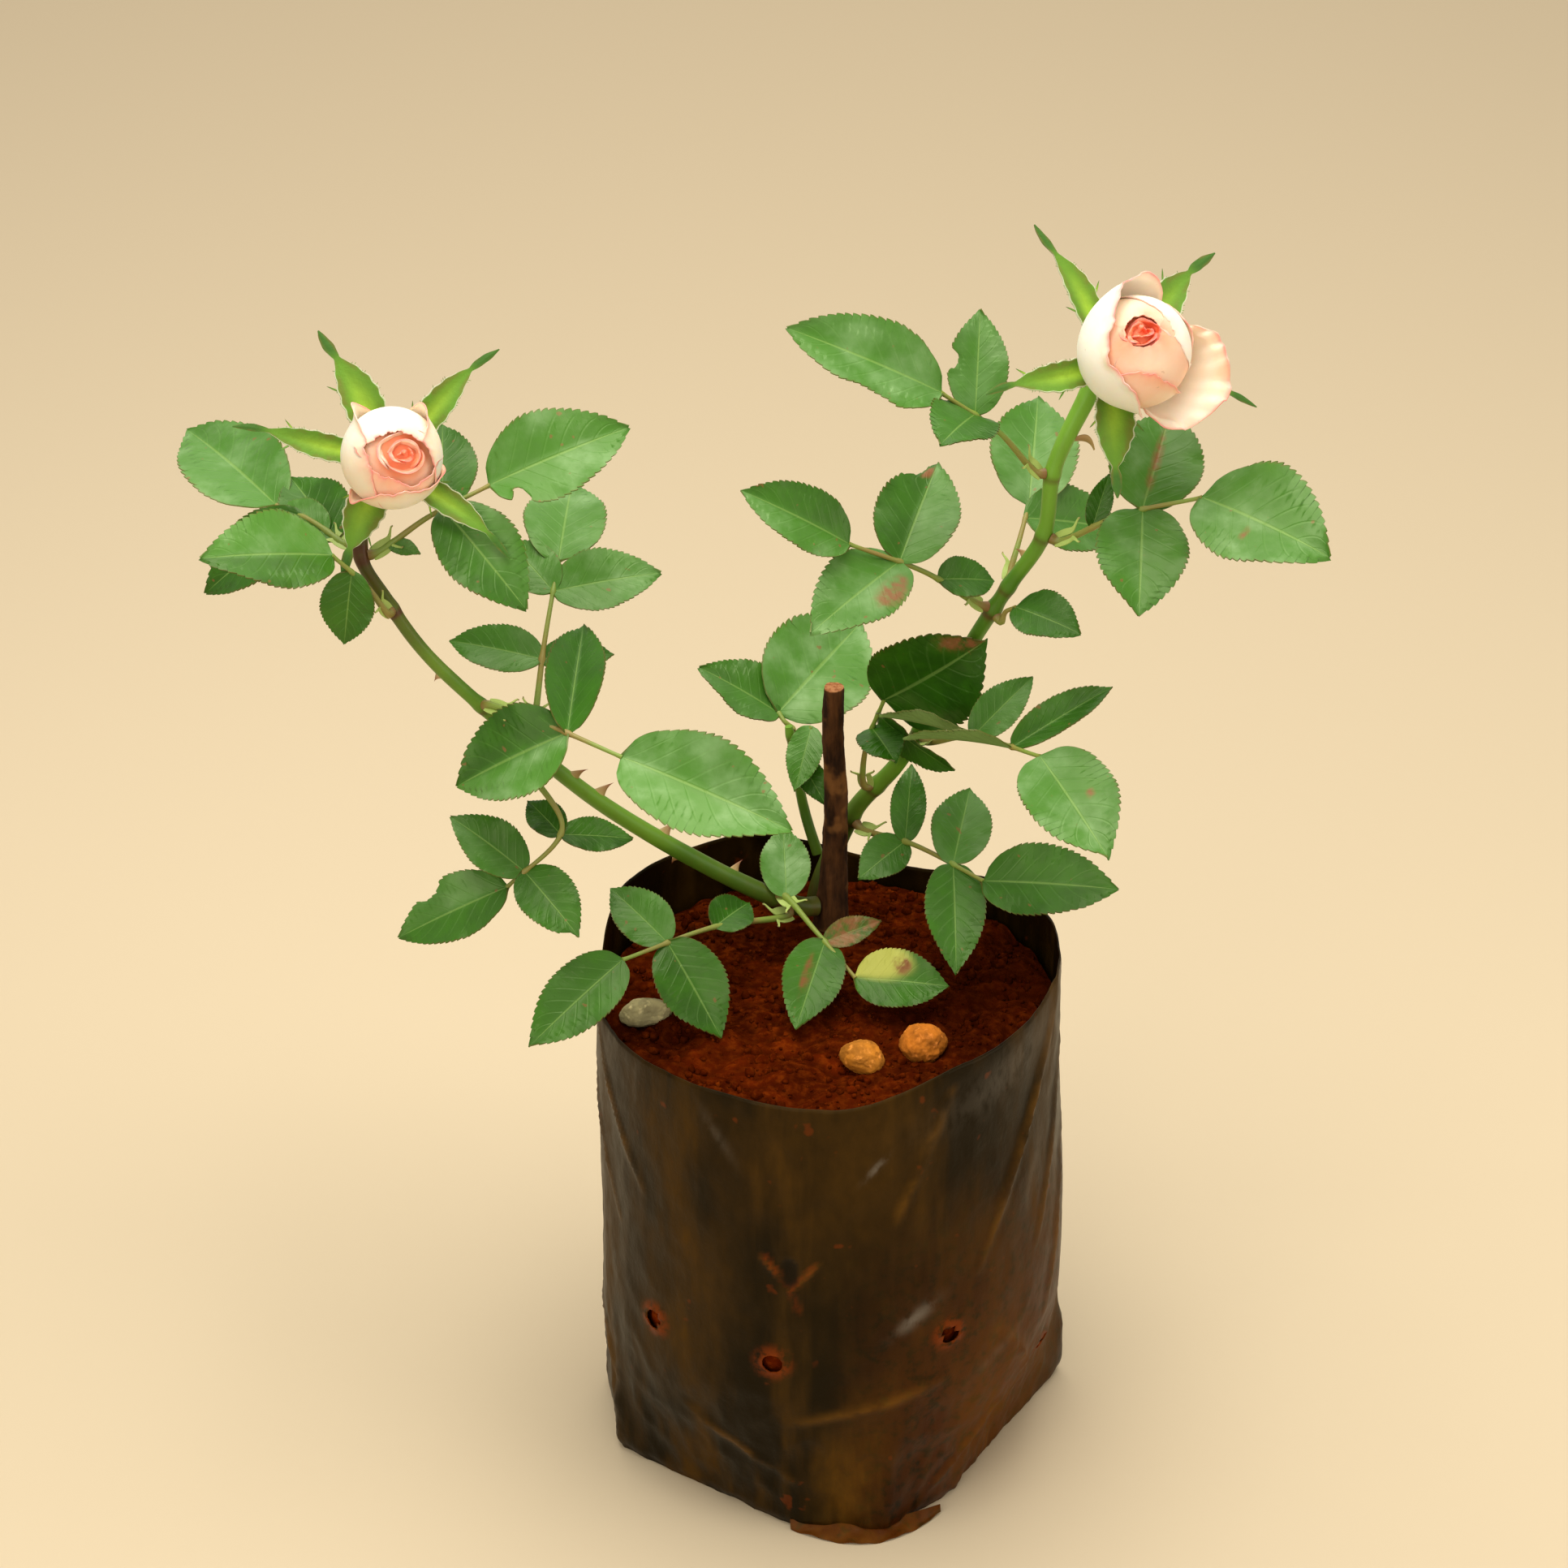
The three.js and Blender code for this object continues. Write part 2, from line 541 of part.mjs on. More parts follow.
for (const [name, cane] of Object.entries(canes)) {
  const points = cane.path.map(vector);
  if (blooms[name]) {
    const bloom = blooms[name];
    const facing = vector(bloom.facing).normalize();
    const end = vector(bloom.centre)
      .addScaledVector(facing, -seatDepth(bloom) - bloom.hip - 2 * clearance);
    points.push(end.clone().addScaledVector(facing, -4), end);
  }
  cane.curve = curveOf(points);
  cane.steps = points.length * 3;
  place(`${name}_${name === 'back' ? 'shoot' : 'cane'}`, toGeometry(caneSolid(cane)), colours.cane);
}

for (const [name, bloom] of Object.entries(blooms)) {
  place(`${name}_calyx`, toGeometry(calyxSolid(bloom, sepals[name])), colours.sepal);
  place(`${name}_petals`, toGeometry(petalSolid(bloom, outerPetals[name])), colours.petal);
}

for (const row of leafRows) {
  place(row.name, toGeometry(leafSolid(row, canes[row.cane])), colours.foliage);
}

export default bush;
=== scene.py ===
import math
import bpy
import numpy as np
from mathutils import Matrix, Vector, noise


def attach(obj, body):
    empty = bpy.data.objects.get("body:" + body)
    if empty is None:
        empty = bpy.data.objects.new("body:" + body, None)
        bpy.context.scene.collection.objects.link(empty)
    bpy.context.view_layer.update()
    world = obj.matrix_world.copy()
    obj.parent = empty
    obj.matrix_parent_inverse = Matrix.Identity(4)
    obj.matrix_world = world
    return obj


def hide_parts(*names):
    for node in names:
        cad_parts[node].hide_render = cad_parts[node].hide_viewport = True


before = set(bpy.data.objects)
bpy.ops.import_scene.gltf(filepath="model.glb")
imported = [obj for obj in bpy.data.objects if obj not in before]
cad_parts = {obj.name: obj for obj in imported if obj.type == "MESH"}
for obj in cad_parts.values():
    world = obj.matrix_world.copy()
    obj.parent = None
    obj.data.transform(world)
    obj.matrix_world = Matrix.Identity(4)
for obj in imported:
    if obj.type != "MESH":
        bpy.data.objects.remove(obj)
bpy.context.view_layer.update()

# A young rose bush with two opening buds, in a black polythene nursery bag of red soil.
# Sizes are in millimetres and become metres where a mesh is made.
mm = 0.001
rng = np.random.default_rng(7)
print('frame loaded')

# camera, floor and light
view = {'tiltDown': 29, 'distance': 1230, 'aim': (-14, 0, 235), 'lens': 92.6}
studio = {'floor': (0.645, 0.52, 0.345), 'floorSize': 9, 'world': (1.0, 0.95, 0.84), 'worldStrength': 0.50,
          'lamps': [('overheadSoftbox', (-60, 0, 1300), (0, 0, 200), 900, 14.0, (1.0, 0.99, 0.95)),
                    ('frontFill', (-700, -1500, 1000), (0, 0, 250), 1200, 11.0, (1.0, 0.96, 0.88)),
                    ('sideFill', (1300, -500, 700), (0, 0, 250), 900, 5.0, (1.0, 0.97, 0.9)),
                    ('farFill', (0, 1500, 1500), (0, 1300, 0), 1600, 9.0, (1.0, 0.97, 0.9))]}


def placed(name, data, spot, target):
    thing = bpy.data.objects.new(name, data)
    bpy.context.scene.collection.objects.link(thing)
    thing.location = Vector(spot) * mm
    thing.rotation_euler = (Vector(target) - Vector(spot)).to_track_quat('-Z', 'Y').to_euler()
    return thing


def setUpView():
    tilt = math.radians(view['tiltDown'])
    aim = Vector(view['aim'])
    spot = aim - view['distance'] * Vector((0, math.cos(tilt), -math.sin(tilt)))
    lens = bpy.data.cameras.new('viewCamera')
    lens.lens = view['lens']
    bpy.context.scene.camera = placed('viewCamera', lens, spot, aim)
    for name, place, target, size, power, tone in studio['lamps']:
        lamp = bpy.data.lights.new(name, 'AREA')
        lamp.size = size * mm
        lamp.energy = power
        lamp.color = tone
        placed(name, lamp, place, target)
    world = bpy.data.worlds.new('paleRoom')
    bpy.context.scene.world = world
    world.use_nodes = True
    back = world.node_tree.nodes['Background']
    back.inputs['Color'].default_value = (*studio['world'], 1)
    back.inputs['Strength'].default_value = studio['worldStrength']
    bpy.context.scene.view_settings.view_transform = 'Standard'


# small helpers for node trees
def newMaterial(name, **values):
    material = bpy.data.materials.new(name)
    material.use_nodes = True
    shader = material.node_tree.nodes['Principled BSDF']
    for socket, value in values.items():
        shader.inputs[socket.replace('_', ' ')].default_value = value
    return material, material.node_tree


def feed(socket, value):
    if isinstance(value, bpy.types.NodeSocket):
        socket.id_data.links.new(value, socket)
    else:
        socket.default_value = (*value, 1) if socket.type == 'RGBA' else value


def calc(operation, a, b=0.0):
    tree = (a if isinstance(a, bpy.types.NodeSocket) else b).id_data
    node = tree.nodes.new('ShaderNodeMath')
    node.operation = operation
    feed(node.inputs[0], a)
    feed(node.inputs[1], b)
    return node.outputs[0]


def times(first, *others):
    for other in others:
        first = calc('MULTIPLY', first, other)
    return first


def plus(a, b):
    return calc('ADD', a, b)


def inverse(value):
    return calc('SUBTRACT', 1.0, value)


def mixTones(factor, a, b):
    node = factor.id_data.nodes.new('ShaderNodeMix')
    node.data_type = 'RGBA'
    for place, value in ((0, factor), (6, a), (7, b)):
        feed(node.inputs[place], value)
    return node.outputs[2]


def layered(tone, *layers):
    # each layer is where it lies, how strong it is there, and its colour
    for where, strength, colour in layers:
        tone = mixTones(times(where, strength), tone, colour)
    return tone


def between(value, low, high):
    node = value.id_data.nodes.new('ShaderNodeMapRange')
    node.interpolation_type = 'SMOOTHSTEP'
    for place, given in enumerate((value, low, high)):
        feed(node.inputs[place], given)
    return node.outputs[0]


def grain(tree, scale, detail=3.0, upright=1.0):
    # noise in the object's own space; less than 1 upright draws it out up and down
    place = tree.nodes.new('ShaderNodeTexCoord')
    mapping = tree.nodes.new('ShaderNodeMapping')
    mapping.inputs['Scale'].default_value = (1, 1, upright)
    tree.links.new(place.outputs['Object'], mapping.inputs['Vector'])
    node = tree.nodes.new('ShaderNodeTexNoise')
    node.inputs['Scale'].default_value = scale
    node.inputs['Detail'].default_value = detail
    node.inputs['Roughness'].default_value = 0.55
    tree.links.new(mapping.outputs[0], node.inputs['Vector'])
    return node.outputs[0]


def patches(tree, scale, detail, low, high):
    return between(grain(tree, scale, detail), low, high)


def carried(tree, name):
    node = tree.nodes.new('ShaderNodeAttribute')
    node.attribute_name = name
    return node.outputs['Fac']


def planOf(tree):
    # how far along a blade (0 to 1), and how far out from its midrib (0 to 1)
    plan = tree.nodes.new('ShaderNodeUVMap')
    plan.uv_map = 'plan'
    parts = tree.nodes.new('ShaderNodeSeparateXYZ')
    tree.links.new(plan.outputs[0], parts.inputs[0])
    return parts.outputs[0], calc('ABSOLUTE', calc('SUBTRACT', times(parts.outputs[1], 2.0), 1.0))


def dressed(material, tone, height=None, strength=0.0, distance=0.0):
    # the colour, and the relief if there is any, go to the shader
    tree = material.node_tree
    shader = tree.nodes['Principled BSDF']
    tree.links.new(tone, shader.inputs['Base Color'])
    if height:
        node = tree.nodes.new('ShaderNodeBump')
        node.inputs['Strength'].default_value = strength
        node.inputs['Distance'].default_value = distance
        tree.links.new(height, node.inputs['Height'])
        tree.links.new(node.outputs[0], shader.inputs['Normal'])
    return material


# directions, curves and fields
def reached(start, *moves):
    # the places reached from the start by going so far along each direction
    for direction, amount in moves:
        start = start + direction * amount[..., None]
    return start


def unit(v):
    v = np.asarray(v, float)
    return v / np.maximum(np.linalg.norm(v, axis=-1, keepdims=True), 1e-9)


def squareTo(direction, aim):
    return unit(np.asarray(aim, float) - np.dot(aim, direction) * direction)


def swung(first, second, degrees):
    # from the first direction towards the second, which is square to it
    turn = math.radians(degrees)
    return first * math.cos(turn) + second * math.sin(turn)


def spun(vector, axis, degrees):
    rest = axis * np.dot(axis, vector)
    return swung(vector, np.cross(axis, vector), degrees) + rest * (1 - math.cos(math.radians(degrees)))


def smoothStep(value, low, high):
    share = np.clip((np.asarray(value, float) - low) / (high - low), 0, 1)
    return share * share * (3 - 2 * share)


def sides(rows, columns, low=0.0, high=1.0):
    # shares down a grid of points and values across it
    return np.linspace(0, 1, rows)[:, None], np.linspace(low, high, columns)[None]


def noiseOver(x, y, z):
    spots = np.stack(np.broadcast_arrays(x, y, z), -1)
    return np.array([noise.noise(Vector(spot)) for spot in spots.reshape(-1, 3)]).reshape(spots.shape[:2])


def stemNoise(shares, turns, width, height, scale):
    width, height = width * scale, height * scale
    return noiseOver(np.cos(turns) * width, np.sin(turns) * width, shares[:, None] * height)


def curveThrough(points):
    # centripetal curve through the points, ready to be read at a share of its length
    p = np.asarray(points, float)
    p = np.vstack([2 * p[0] - p[1], p, 2 * p[-1] - p[-2]])
    dense = []
    for i in range(1, len(p) - 2):
        p0, p1, p2, p3 = p[i - 1:i + 3]
        d0, d1, d2 = [max(np.linalg.norm(b - a) ** 0.5, 1e-6) for a, b in ((p0, p1), (p1, p2), (p2, p3))]
        m1 = ((p1 - p0) / d0 - (p2 - p0) / (d0 + d1) + (p2 - p1) / d1) * d1
        m2 = ((p2 - p1) / d1 - (p3 - p1) / (d1 + d2) + (p3 - p2) / d2) * d1
        t = np.linspace(0, 1, 24, endpoint=False)[:, None]
        dense.append(p1 * (2 * t**3 - 3 * t**2 + 1) + m1 * (t**3 - 2 * t**2 + t)
                     + p2 * (3 * t**2 - 2 * t**3) + m2 * (t**3 - t**2))
    dense = np.vstack(dense + [p[-2:-1]])
    lengths = np.concatenate([[0], np.cumsum(np.linalg.norm(np.diff(dense, axis=0), axis=1))])
    return {'points': dense, 'shares': lengths / lengths[-1], 'length': lengths[-1]}


def at(curve, share):
    return np.stack([np.interp(share, curve['shares'], values) for values in curve['points'].T], -1)


def tangentAt(curve, share):
    share = np.asarray(share, float)
    return unit(at(curve, np.minimum(share + 0.004, 1)) - at(curve, np.maximum(share - 0.004, 0)))


def along(values, share):
    return np.interp(share, np.linspace(0, 1, len(values)), values)


def shareAtHeight(curve, height):
    return float(np.interp(height, curve['points'][:, 2], curve['shares']))


# meshes shaped from rows of points
def newHeap():
    return {'points': [], 'uv': [], 'faces': [], 'slots': [], 'count': 0, 'marks': {}}


def addPatch(heap, grid, uv=None, slot=0, flip=False, **marks):
    # a grid of points becomes quads; each mark is a value carried by every point
    rows, cols = grid.shape[:2]
    index = heap['count'] + np.arange(rows * cols).reshape(rows, cols)
    quads = np.stack([index[:-1, :-1], index[:-1, 1:], index[1:, 1:], index[1:, :-1]], -1).reshape(-1, 4)
    heap['faces'].append(quads[:, ::-1] if flip else quads)
    heap['slots'].append(np.full(len(quads), slot))
    heap['points'].append(grid.reshape(-1, 3))
    if uv is None:
        uv = np.stack(np.broadcast_arrays(*sides(rows, cols)), -1)
    heap['uv'].append(uv.reshape(-1, 2))
    for name, value in marks.items():
        heap['marks'].setdefault(name, []).append(np.broadcast_to(value, (rows, cols)).reshape(-1))
    heap['count'] += rows * cols
    return index


def addBlade(heap, grid, thickness, slots=(0, 1), uv=None, keel=0.0, **marks):
    # a thin leaf of tissue: its two faces and the rim between them
    normals = unit(np.cross(np.gradient(grid, axis=0), np.gradient(grid, axis=1)))
    depth = np.broadcast_to(thickness / 2 + keel, grid.shape[:2])[..., None]
    top = addPatch(heap, grid + normals * thickness / 2, uv, slots[0], flip=True, **marks)
    under = addPatch(heap, grid - normals * depth, uv, slots[1], **marks)
    forth, back = slice(None), slice(None, None, -1)
    for loop in ((0, forth), (forth, -1), (-1, back), (back, 0)):
        a, b = top[loop], under[loop]
        quads = np.stack([a[:-1], a[1:], b[1:], b[:-1]], -1)
        heap['faces'].append(quads)
        heap['slots'].append(np.full(len(quads), slots[0]))


def tubeRows(curve, radius, turns, shares):
    # rings of points along a curve, closed to a point at both ends
    side = (0.3, 0.9, 0.1)
    across = []
    for tangent in tangentAt(curve, shares):
        side = squareTo(tangent, side)
        across.append(side)
    across = np.array(across)[:, None]
    ups = np.cross(tangentAt(curve, shares)[:, None], across)
    ring = np.cos(turns)[:, None] * across + np.sin(turns)[:, None] * ups
    spots = at(curve, shares)[:, None]
    grid = spots + np.broadcast_to(radius, (len(shares), len(turns)))[..., None] * ring
    return np.concatenate([spots[:1] + 0 * ring[:1], grid, spots[-1:] + 0 * ring[:1]])


def endsToo(values):
    # the end rows once more, for the points that close a tube
    return np.concatenate([values[:1], values, values[-1:]])


def makePiece(name, heap, materials, replaced, angle):
    mesh = bpy.data.meshes.new(name)
    mesh.from_pydata((np.vstack(heap['points']) * mm).tolist(), [], np.vstack(heap['faces']).tolist())
    loops = np.empty(len(mesh.loops), int)
    mesh.loops.foreach_get('vertex_index', loops)
    mesh.uv_layers.new(name='plan').data.foreach_set('uv', np.vstack(heap['uv'])[loops].ravel())
    for mark, values in heap['marks'].items():
        addMark(mesh, mark, np.concatenate(values))
    for material in materials:
        mesh.materials.append(material)
    mesh.polygons.foreach_set('material_index', np.concatenate(heap['slots']).astype(int))
    piece = bpy.data.objects.new(name, mesh)
    bpy.context.scene.collection.objects.link(piece)
    finishPiece(piece, replaced, angle)


def addMark(mesh, name, values):
    mesh.attributes.new(name, 'FLOAT', 'POINT').data.foreach_set('value', values.ravel().astype(float))


def newGrid(name, grid, material, **marks):
    # a grid primitive with as many rows and columns, its points then moved to their places
    rows, columns = grid.shape[:2]
    bpy.ops.object.select_all(action='DESELECT')
    bpy.ops.mesh.primitive_grid_add(x_subdivisions=columns - 1, y_subdivisions=rows - 1, size=1)
    piece = bpy.context.object
    piece.name = name
    piece.data.vertices.foreach_set('co', (grid * mm).ravel())
    for mark, value in marks.items():
        addMark(piece.data, mark, np.broadcast_to(value, (rows, columns)))
    piece.data.materials.append(material)
    piece.data.update()
    return piece


def pick(piece, kind, chosen):
    # edit mode, with only the chosen points or faces selected
    bpy.ops.object.mode_set(mode='EDIT')
    bpy.ops.mesh.select_mode(type=kind)
    bpy.ops.mesh.select_all(action='DESELECT')
    bpy.ops.object.mode_set(mode='OBJECT')
    members = piece.data.vertices if kind == 'VERT' else piece.data.polygons
    members.foreach_set('select', chosen)
    bpy.ops.object.mode_set(mode='EDIT')


def thickened(piece, thickness):
    bpy.ops.object.modifier_add(type='SOLIDIFY')
    piece.modifiers['Solidify'].thickness = thickness * mm
    bpy.ops.object.modifier_apply(modifier='Solidify')
    return piece


def chosenAlone(piece):
    bpy.ops.object.select_all(action='DESELECT')
    bpy.context.view_layer.objects.active = piece
    piece.select_set(True)


def finishPiece(piece, replaced, angle):
    # doubles merged, flat scraps dropped, shaded smooth, and set on the frame
    chosenAlone(piece)
    bpy.ops.object.mode_set(mode='EDIT')
    bpy.ops.mesh.select_all(action='SELECT')
    bpy.ops.mesh.remove_doubles(threshold=0.000002)
    bpy.ops.mesh.dissolve_degenerate(threshold=0.000001)
    bpy.ops.object.mode_set(mode='OBJECT')
    bpy.ops.object.shade_smooth_by_angle(angle=math.radians(angle))
    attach(piece, 'root')
    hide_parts(*replaced)


# the nursery bag
bag = {
    'mouthRadius': 72.5, 'blendHeight': 62, 'bulge': 3.5, 'film': 0.45, 'lowest': 0.08,
    'corners': [(-68, -25), (-9, -66), (19, -70), (42, -45), (80, 18), (50, 52), (4, 69), (-46, 52),
                (-72, 14)],
    'rim': [(-180, 162), (-120, 165), (-90, 164), (-55, 173), (0, 178), (25, 176), (70, 167), (118, 180),
            (158, 181), (180, 162)],
    'holes': [(-104, 69), (-60, 76), (-139, 69), (-16, 40), (38, 72), (95, 68), (150, 74)],
    'holeRadius': 3.3,
    # a rust-stained V-shaped snag in the film: angle and height at both ends, half width, strength
    'tears': [(-106, 109, -99.5, 98, 1.1, 0.65), (-94, 107, -99, 98, 1.1, 0.6),
              (-99.5, 97, -97.5, 90, 1.3, 0.35)],
    'notch': (-100, 104, 3.4), 'rustSide': (-34, 0.55, 0.30),
    # creases: angle and height at both ends, depth (out is more than 0), half width
    'creases': [(-14, 176, -45, 116, 1.3, 3.2), (-20, 170, -52, 96, 1.0, 2.6), (-8, 150, -30, 92, 1.2, 3.0),
                (-6, 120, -24, 60, 1.1, 3.4), (-170, 158, -142, 116, 1.1, 2.8),
                (-178, 140, -155, 96, 0.9, 2.6), (-33, 34, -59, 12, 1.3, 3.0), (-45, 70, -20, 30, 1.0, 4.0),
                (-107, 109, -99.5, 98, 0.8, 1.8), (-93, 108, -99, 98, 0.8, 1.8),
                (-98, 46, -60, 60, 0.7, 3.5), (-130, 40, -100, 20, 0.9, 3.0),
                (20, 150, 60, 90, 1.0, 3.0), (80, 120, 110, 40, 1.0, 3.2), (120, 160, 150, 100, 1.1, 3.0),
                (160, 60, 200, 30, 1.0, 3.2), (-60, 165, -75, 120, 0.5, 3.0)],
    # pale marks, scuffs and a painted sheen (the broad third, under the rim at the upper right): angle,
    # height, half length, half width, slope, strength
    'scuffsAndSheen': [(-69, 85, 7, 2.2, 38, 0.75), (-79, 143, 4.5, 0.9, 50, 0.8), (-38, 163, 26, 7, 14, 0.3),
               (-30, 120, 16, 2.5, 62, 0.3), (-118, 150, 9, 1.6, -55, 0.2), (-45, 60, 10, 2, 30, 0.2)],
    'columns': 300, 'rows': 112, 'floorSteps': (0.97, 0.85, 0.7, 0.5),
}
flap = {'start': (-12, -65.5), 'end': (36, -58), 'reach': 7.5, 'height': 2.6, 'bow': 6.5, 'steps': (49, 13)}


def bagMaterial():
    material, tree = newMaterial('dustyFilm', Specular_IOR_Level=0.11, Specular_Tint=(1.0, 0.78, 0.48, 1))
    fine = grain(tree, 260, 5, 0.6)
    clouds = times(between(grain(tree, 24, 4, 0.45), 0.42, 0.68), 0.5)
    streaks = times(between(grain(tree, 60, 4, 0.18), 0.45, 0.72), 0.45)
    dusty = times(plus(clouds, streaks), plus(carried(tree, 'worn'), 0.45), plus(fine, 0.5))
    rust = times(carried(tree, 'stain'), patches(tree, 300, 3, 0.3, 0.55), 0.8)
    rust = calc('MAXIMUM', rust, times(patches(tree, 130, 2, 0.68, 0.76), 0.35))
    film = mixTones(dusty, (0.0060, 0.0036, 0.0008), (0.098, 0.043, 0.004))
    ochre = times(carried(tree, 'crease'), 0.5)
    film = layered(film, (ochre, patches(tree, 90, 3, 0.3, 0.7), (0.20, 0.085, 0.008)),
                   # near-black painted shade in the notch
                   (rust, 1.0, (0.19, 0.030, 0.003)), (carried(tree, 'notch'), 0.9, (0.004, 0.003, 0.002)),
                   # pale scuffs, and the painted sheen under the rim at the upper right
                   (carried(tree, 'pale'), between(fine, 0.3, 0.6), (0.155, 0.13, 0.10)))
    rough = plus(plus(times(dusty, 0.5), times(fine, 0.16)), 0.24)
    tree.links.new(rough, tree.nodes['Principled BSDF'].inputs['Roughness'])
    return dressed(material, film, plus(grain(tree, 70, 5, 0.7), times(fine, 0.25)), 0.5, 0.0012)


def cornerRadius(angles):
    # distance out to the folded many-sided bottom
    aim = np.stack([np.cos(angles), np.sin(angles)])
    radius = np.zeros(len(angles))
    corners = np.array(bag['corners'], float)
    for start, end in zip(corners, np.roll(corners, -1, axis=0)):
        edge = end - start
        across = aim[0] * edge[1] - aim[1] * edge[0]
        reach = (start[0] * edge[1] - start[1] * edge[0]) / across
        place = (start[0] * aim[1] - start[1] * aim[0]) / across
        on = (reach > 0) & (place >= -1e-6) & (place <= 1 + 1e-6)
        radius[on] = np.maximum(radius[on], reach[on])
    return radius


def bagRadius(angles, heights):
    share = smoothStep(heights, 0, bag['blendHeight'])
    corners = cornerRadius(np.ravel(angles)).reshape(np.shape(angles))
    rise = np.pi * np.minimum(heights / bag['mouthRadius'] / 1.9, 1)
    swell = bag['bulge'] * np.sin(rise) * np.maximum(0, np.cos(angles))
    return corners * (1 - share) + bag['mouthRadius'] * share + swell


def rimHeight(angles):
    degrees = np.degrees(angles)
    heights = np.zeros(len(degrees))
    for (a0, z0), (a1, z1) in zip(bag['rim'][:-1], bag['rim'][1:]):
        on = (degrees >= a0) & (degrees <= a1)
        heights[on] = z0 + (z1 - z0) * smoothStep(degrees[on], a0, a1)
    return heights


def turnFrom(angles, degrees):
    # the signed turn from one direction, at most half a circle
    return (angles - math.radians(degrees) + np.pi) % (2 * np.pi) - np.pi


def nearLine(angles, heights, a0, z0, a1, z1):
    # how far each place on the film is from a line, and where along it
    radius, half = bag['mouthRadius'], math.radians(a1 - a0) / 2
    spot = np.stack([turnFrom(angles, (a0 + a1) / 2) * radius, heights], -1)
    start = np.array([-half * radius, z0])
    run = np.array([half * radius, z1]) - start
    place = np.clip(((spot - start) @ run) / (run @ run), 0, 1)
    return np.linalg.norm(spot - start - place[..., None] * run, axis=-1), place


def creaseField(angles, heights):
    relief = np.zeros(angles.shape)
    dust = np.zeros(angles.shape)
    for *line, depth, width in bag['creases']:
        gap, place = nearLine(angles, heights, *line)
        ridge = np.clip(1 - gap / width, 0, 1) ** 1.3 * np.sin(np.pi * (0.08 + 0.84 * place)) ** 0.6
        relief += depth * ridge
        dust = np.maximum(dust, ridge)
    return relief, dust


def scuffAndSheenField(angles, heights):
    pale = np.zeros(angles.shape)
    for degrees, height, length, width, slope, strength in bag['scuffsAndSheen']:
        across, up = turnFrom(angles, degrees) * bag['mouthRadius'], heights - height
        run, off = swung(across, up, slope), swung(up, -across, slope)
        pale = np.maximum(pale, strength * np.exp(-(run / length) ** 2 - (off / width) ** 2))
    return pale


def buildBag():
    columns, rows, size = bag['columns'], bag['rows'], bag['holeRadius']
    turns = np.linspace(-np.pi, np.pi, columns + 1)
    share = np.linspace(0, 1, rows)[:, None]
    heights = bag['lowest'] + (rimHeight(turns) - bag['lowest']) * share
    angles = np.broadcast_to(turns, heights.shape)
    relief, dust = creaseField(angles, heights)
    x, y = np.cos(turns), np.sin(turns)
    soft = noiseOver(x * 1.6, y * 1.6, heights / 55)
    crumple = 0.5 - abs(noiseOver(x * 5, y * 5, heights / 17 + 9))
    crumple -= 0.5 * abs(noiseOver(x * 12, y * 12, heights / 11 + 3))
    low = 1 - smoothStep(heights, 10, 75)
    radius = bagRadius(angles, heights) + relief + soft * (0.8 + low) + crumple * (0.7 + 1.6 * low)
    radius -= 1.6 * (1 - smoothStep(heights, 0, 4)) + 0.3 * smoothStep(share, 0.985, 1)
    stain = np.zeros(heights.shape)
    for *line, width, strength in bag['tears']:
        gap = nearLine(angles, heights, *line)[0]
        stain = np.maximum(stain, strength * np.clip(1.3 - gap / width, 0, 1))
    degrees, least, strength = bag['rustSide']
    facingSide = np.clip(np.cos(turnFrom(angles, degrees)) - least, 0, 1) / (1 - least)
    stain = np.maximum(stain, strength * facingSide * (1 - smoothStep(heights, 30, 150)))
    # the notch of the snag: a shallow dent in the film, with near-black painted shade in it
    degrees, height, width = bag['notch']
    gap = nearLine(angles, heights, degrees, height + 2, degrees, height - 3)[0]
    notch = 1 - smoothStep(gap, width / 2, width)
    radius -= 1.1 * notch
    keep = np.ones((rows - 1, columns), bool)
    for degrees, height in bag['holes']:
        # the punched holes: points near the edge are drawn on to it, and what is inside is dropped
        turn = turnFrom(angles, degrees)
        gap = np.hypot(turn * radius, heights - height)
        edge = (gap > size * 0.55) & (gap < size * 1.35)
        pull = np.where(edge, size / np.maximum(gap, 0.1), 1.0) - 1
        angles = angles + turn * pull
        heights = heights + (heights - height) * pull
        inside = gap <= size * 1.05
        keep &= ~(inside[:-1, :-1] & inside[1:, :-1] & inside[:-1, 1:] & inside[1:, 1:])
        stain = np.maximum(stain, 1 - smoothStep(gap, size, size * 2.4))
        radius = radius + 0.7 * np.exp(-((gap - size * 1.1) / 1.2) ** 2)
    grid = np.stack([radius * np.cos(angles), radius * np.sin(angles), heights], -1)
    piece = newGrid('bagFilm', grid, bagMaterial(), crease=dust, stain=stain, notch=notch,
                    worn=np.clip(0.25 + 0.5 * low, 0, 1), pale=scuffAndSheenField(angles, heights))
    # the foot's loop is drawn in towards the middle, ring by ring, as the folded floor
    pick(piece, 'VERT', np.arange(rows * (columns + 1)) <= columns)
    for shrink in bag['floorSteps']:
        bpy.ops.mesh.extrude_region_move()
        bpy.ops.transform.resize(value=(shrink, shrink, 1), center_override=(0, 0, 0))
    bpy.ops.mesh.merge(type='CENTER')
    bpy.ops.object.mode_set(mode='OBJECT')
    dropped = np.zeros(len(piece.data.polygons), bool)
    dropped[:keep.size] = ~keep.reshape(-1)
    pick(piece, 'FACE', dropped)
    bpy.ops.mesh.delete(type='FACE')
    bpy.ops.object.mode_set(mode='OBJECT')
    finishPiece(piece, ['nursery_bag'], 60)
    thickened(piece, bag['film'])


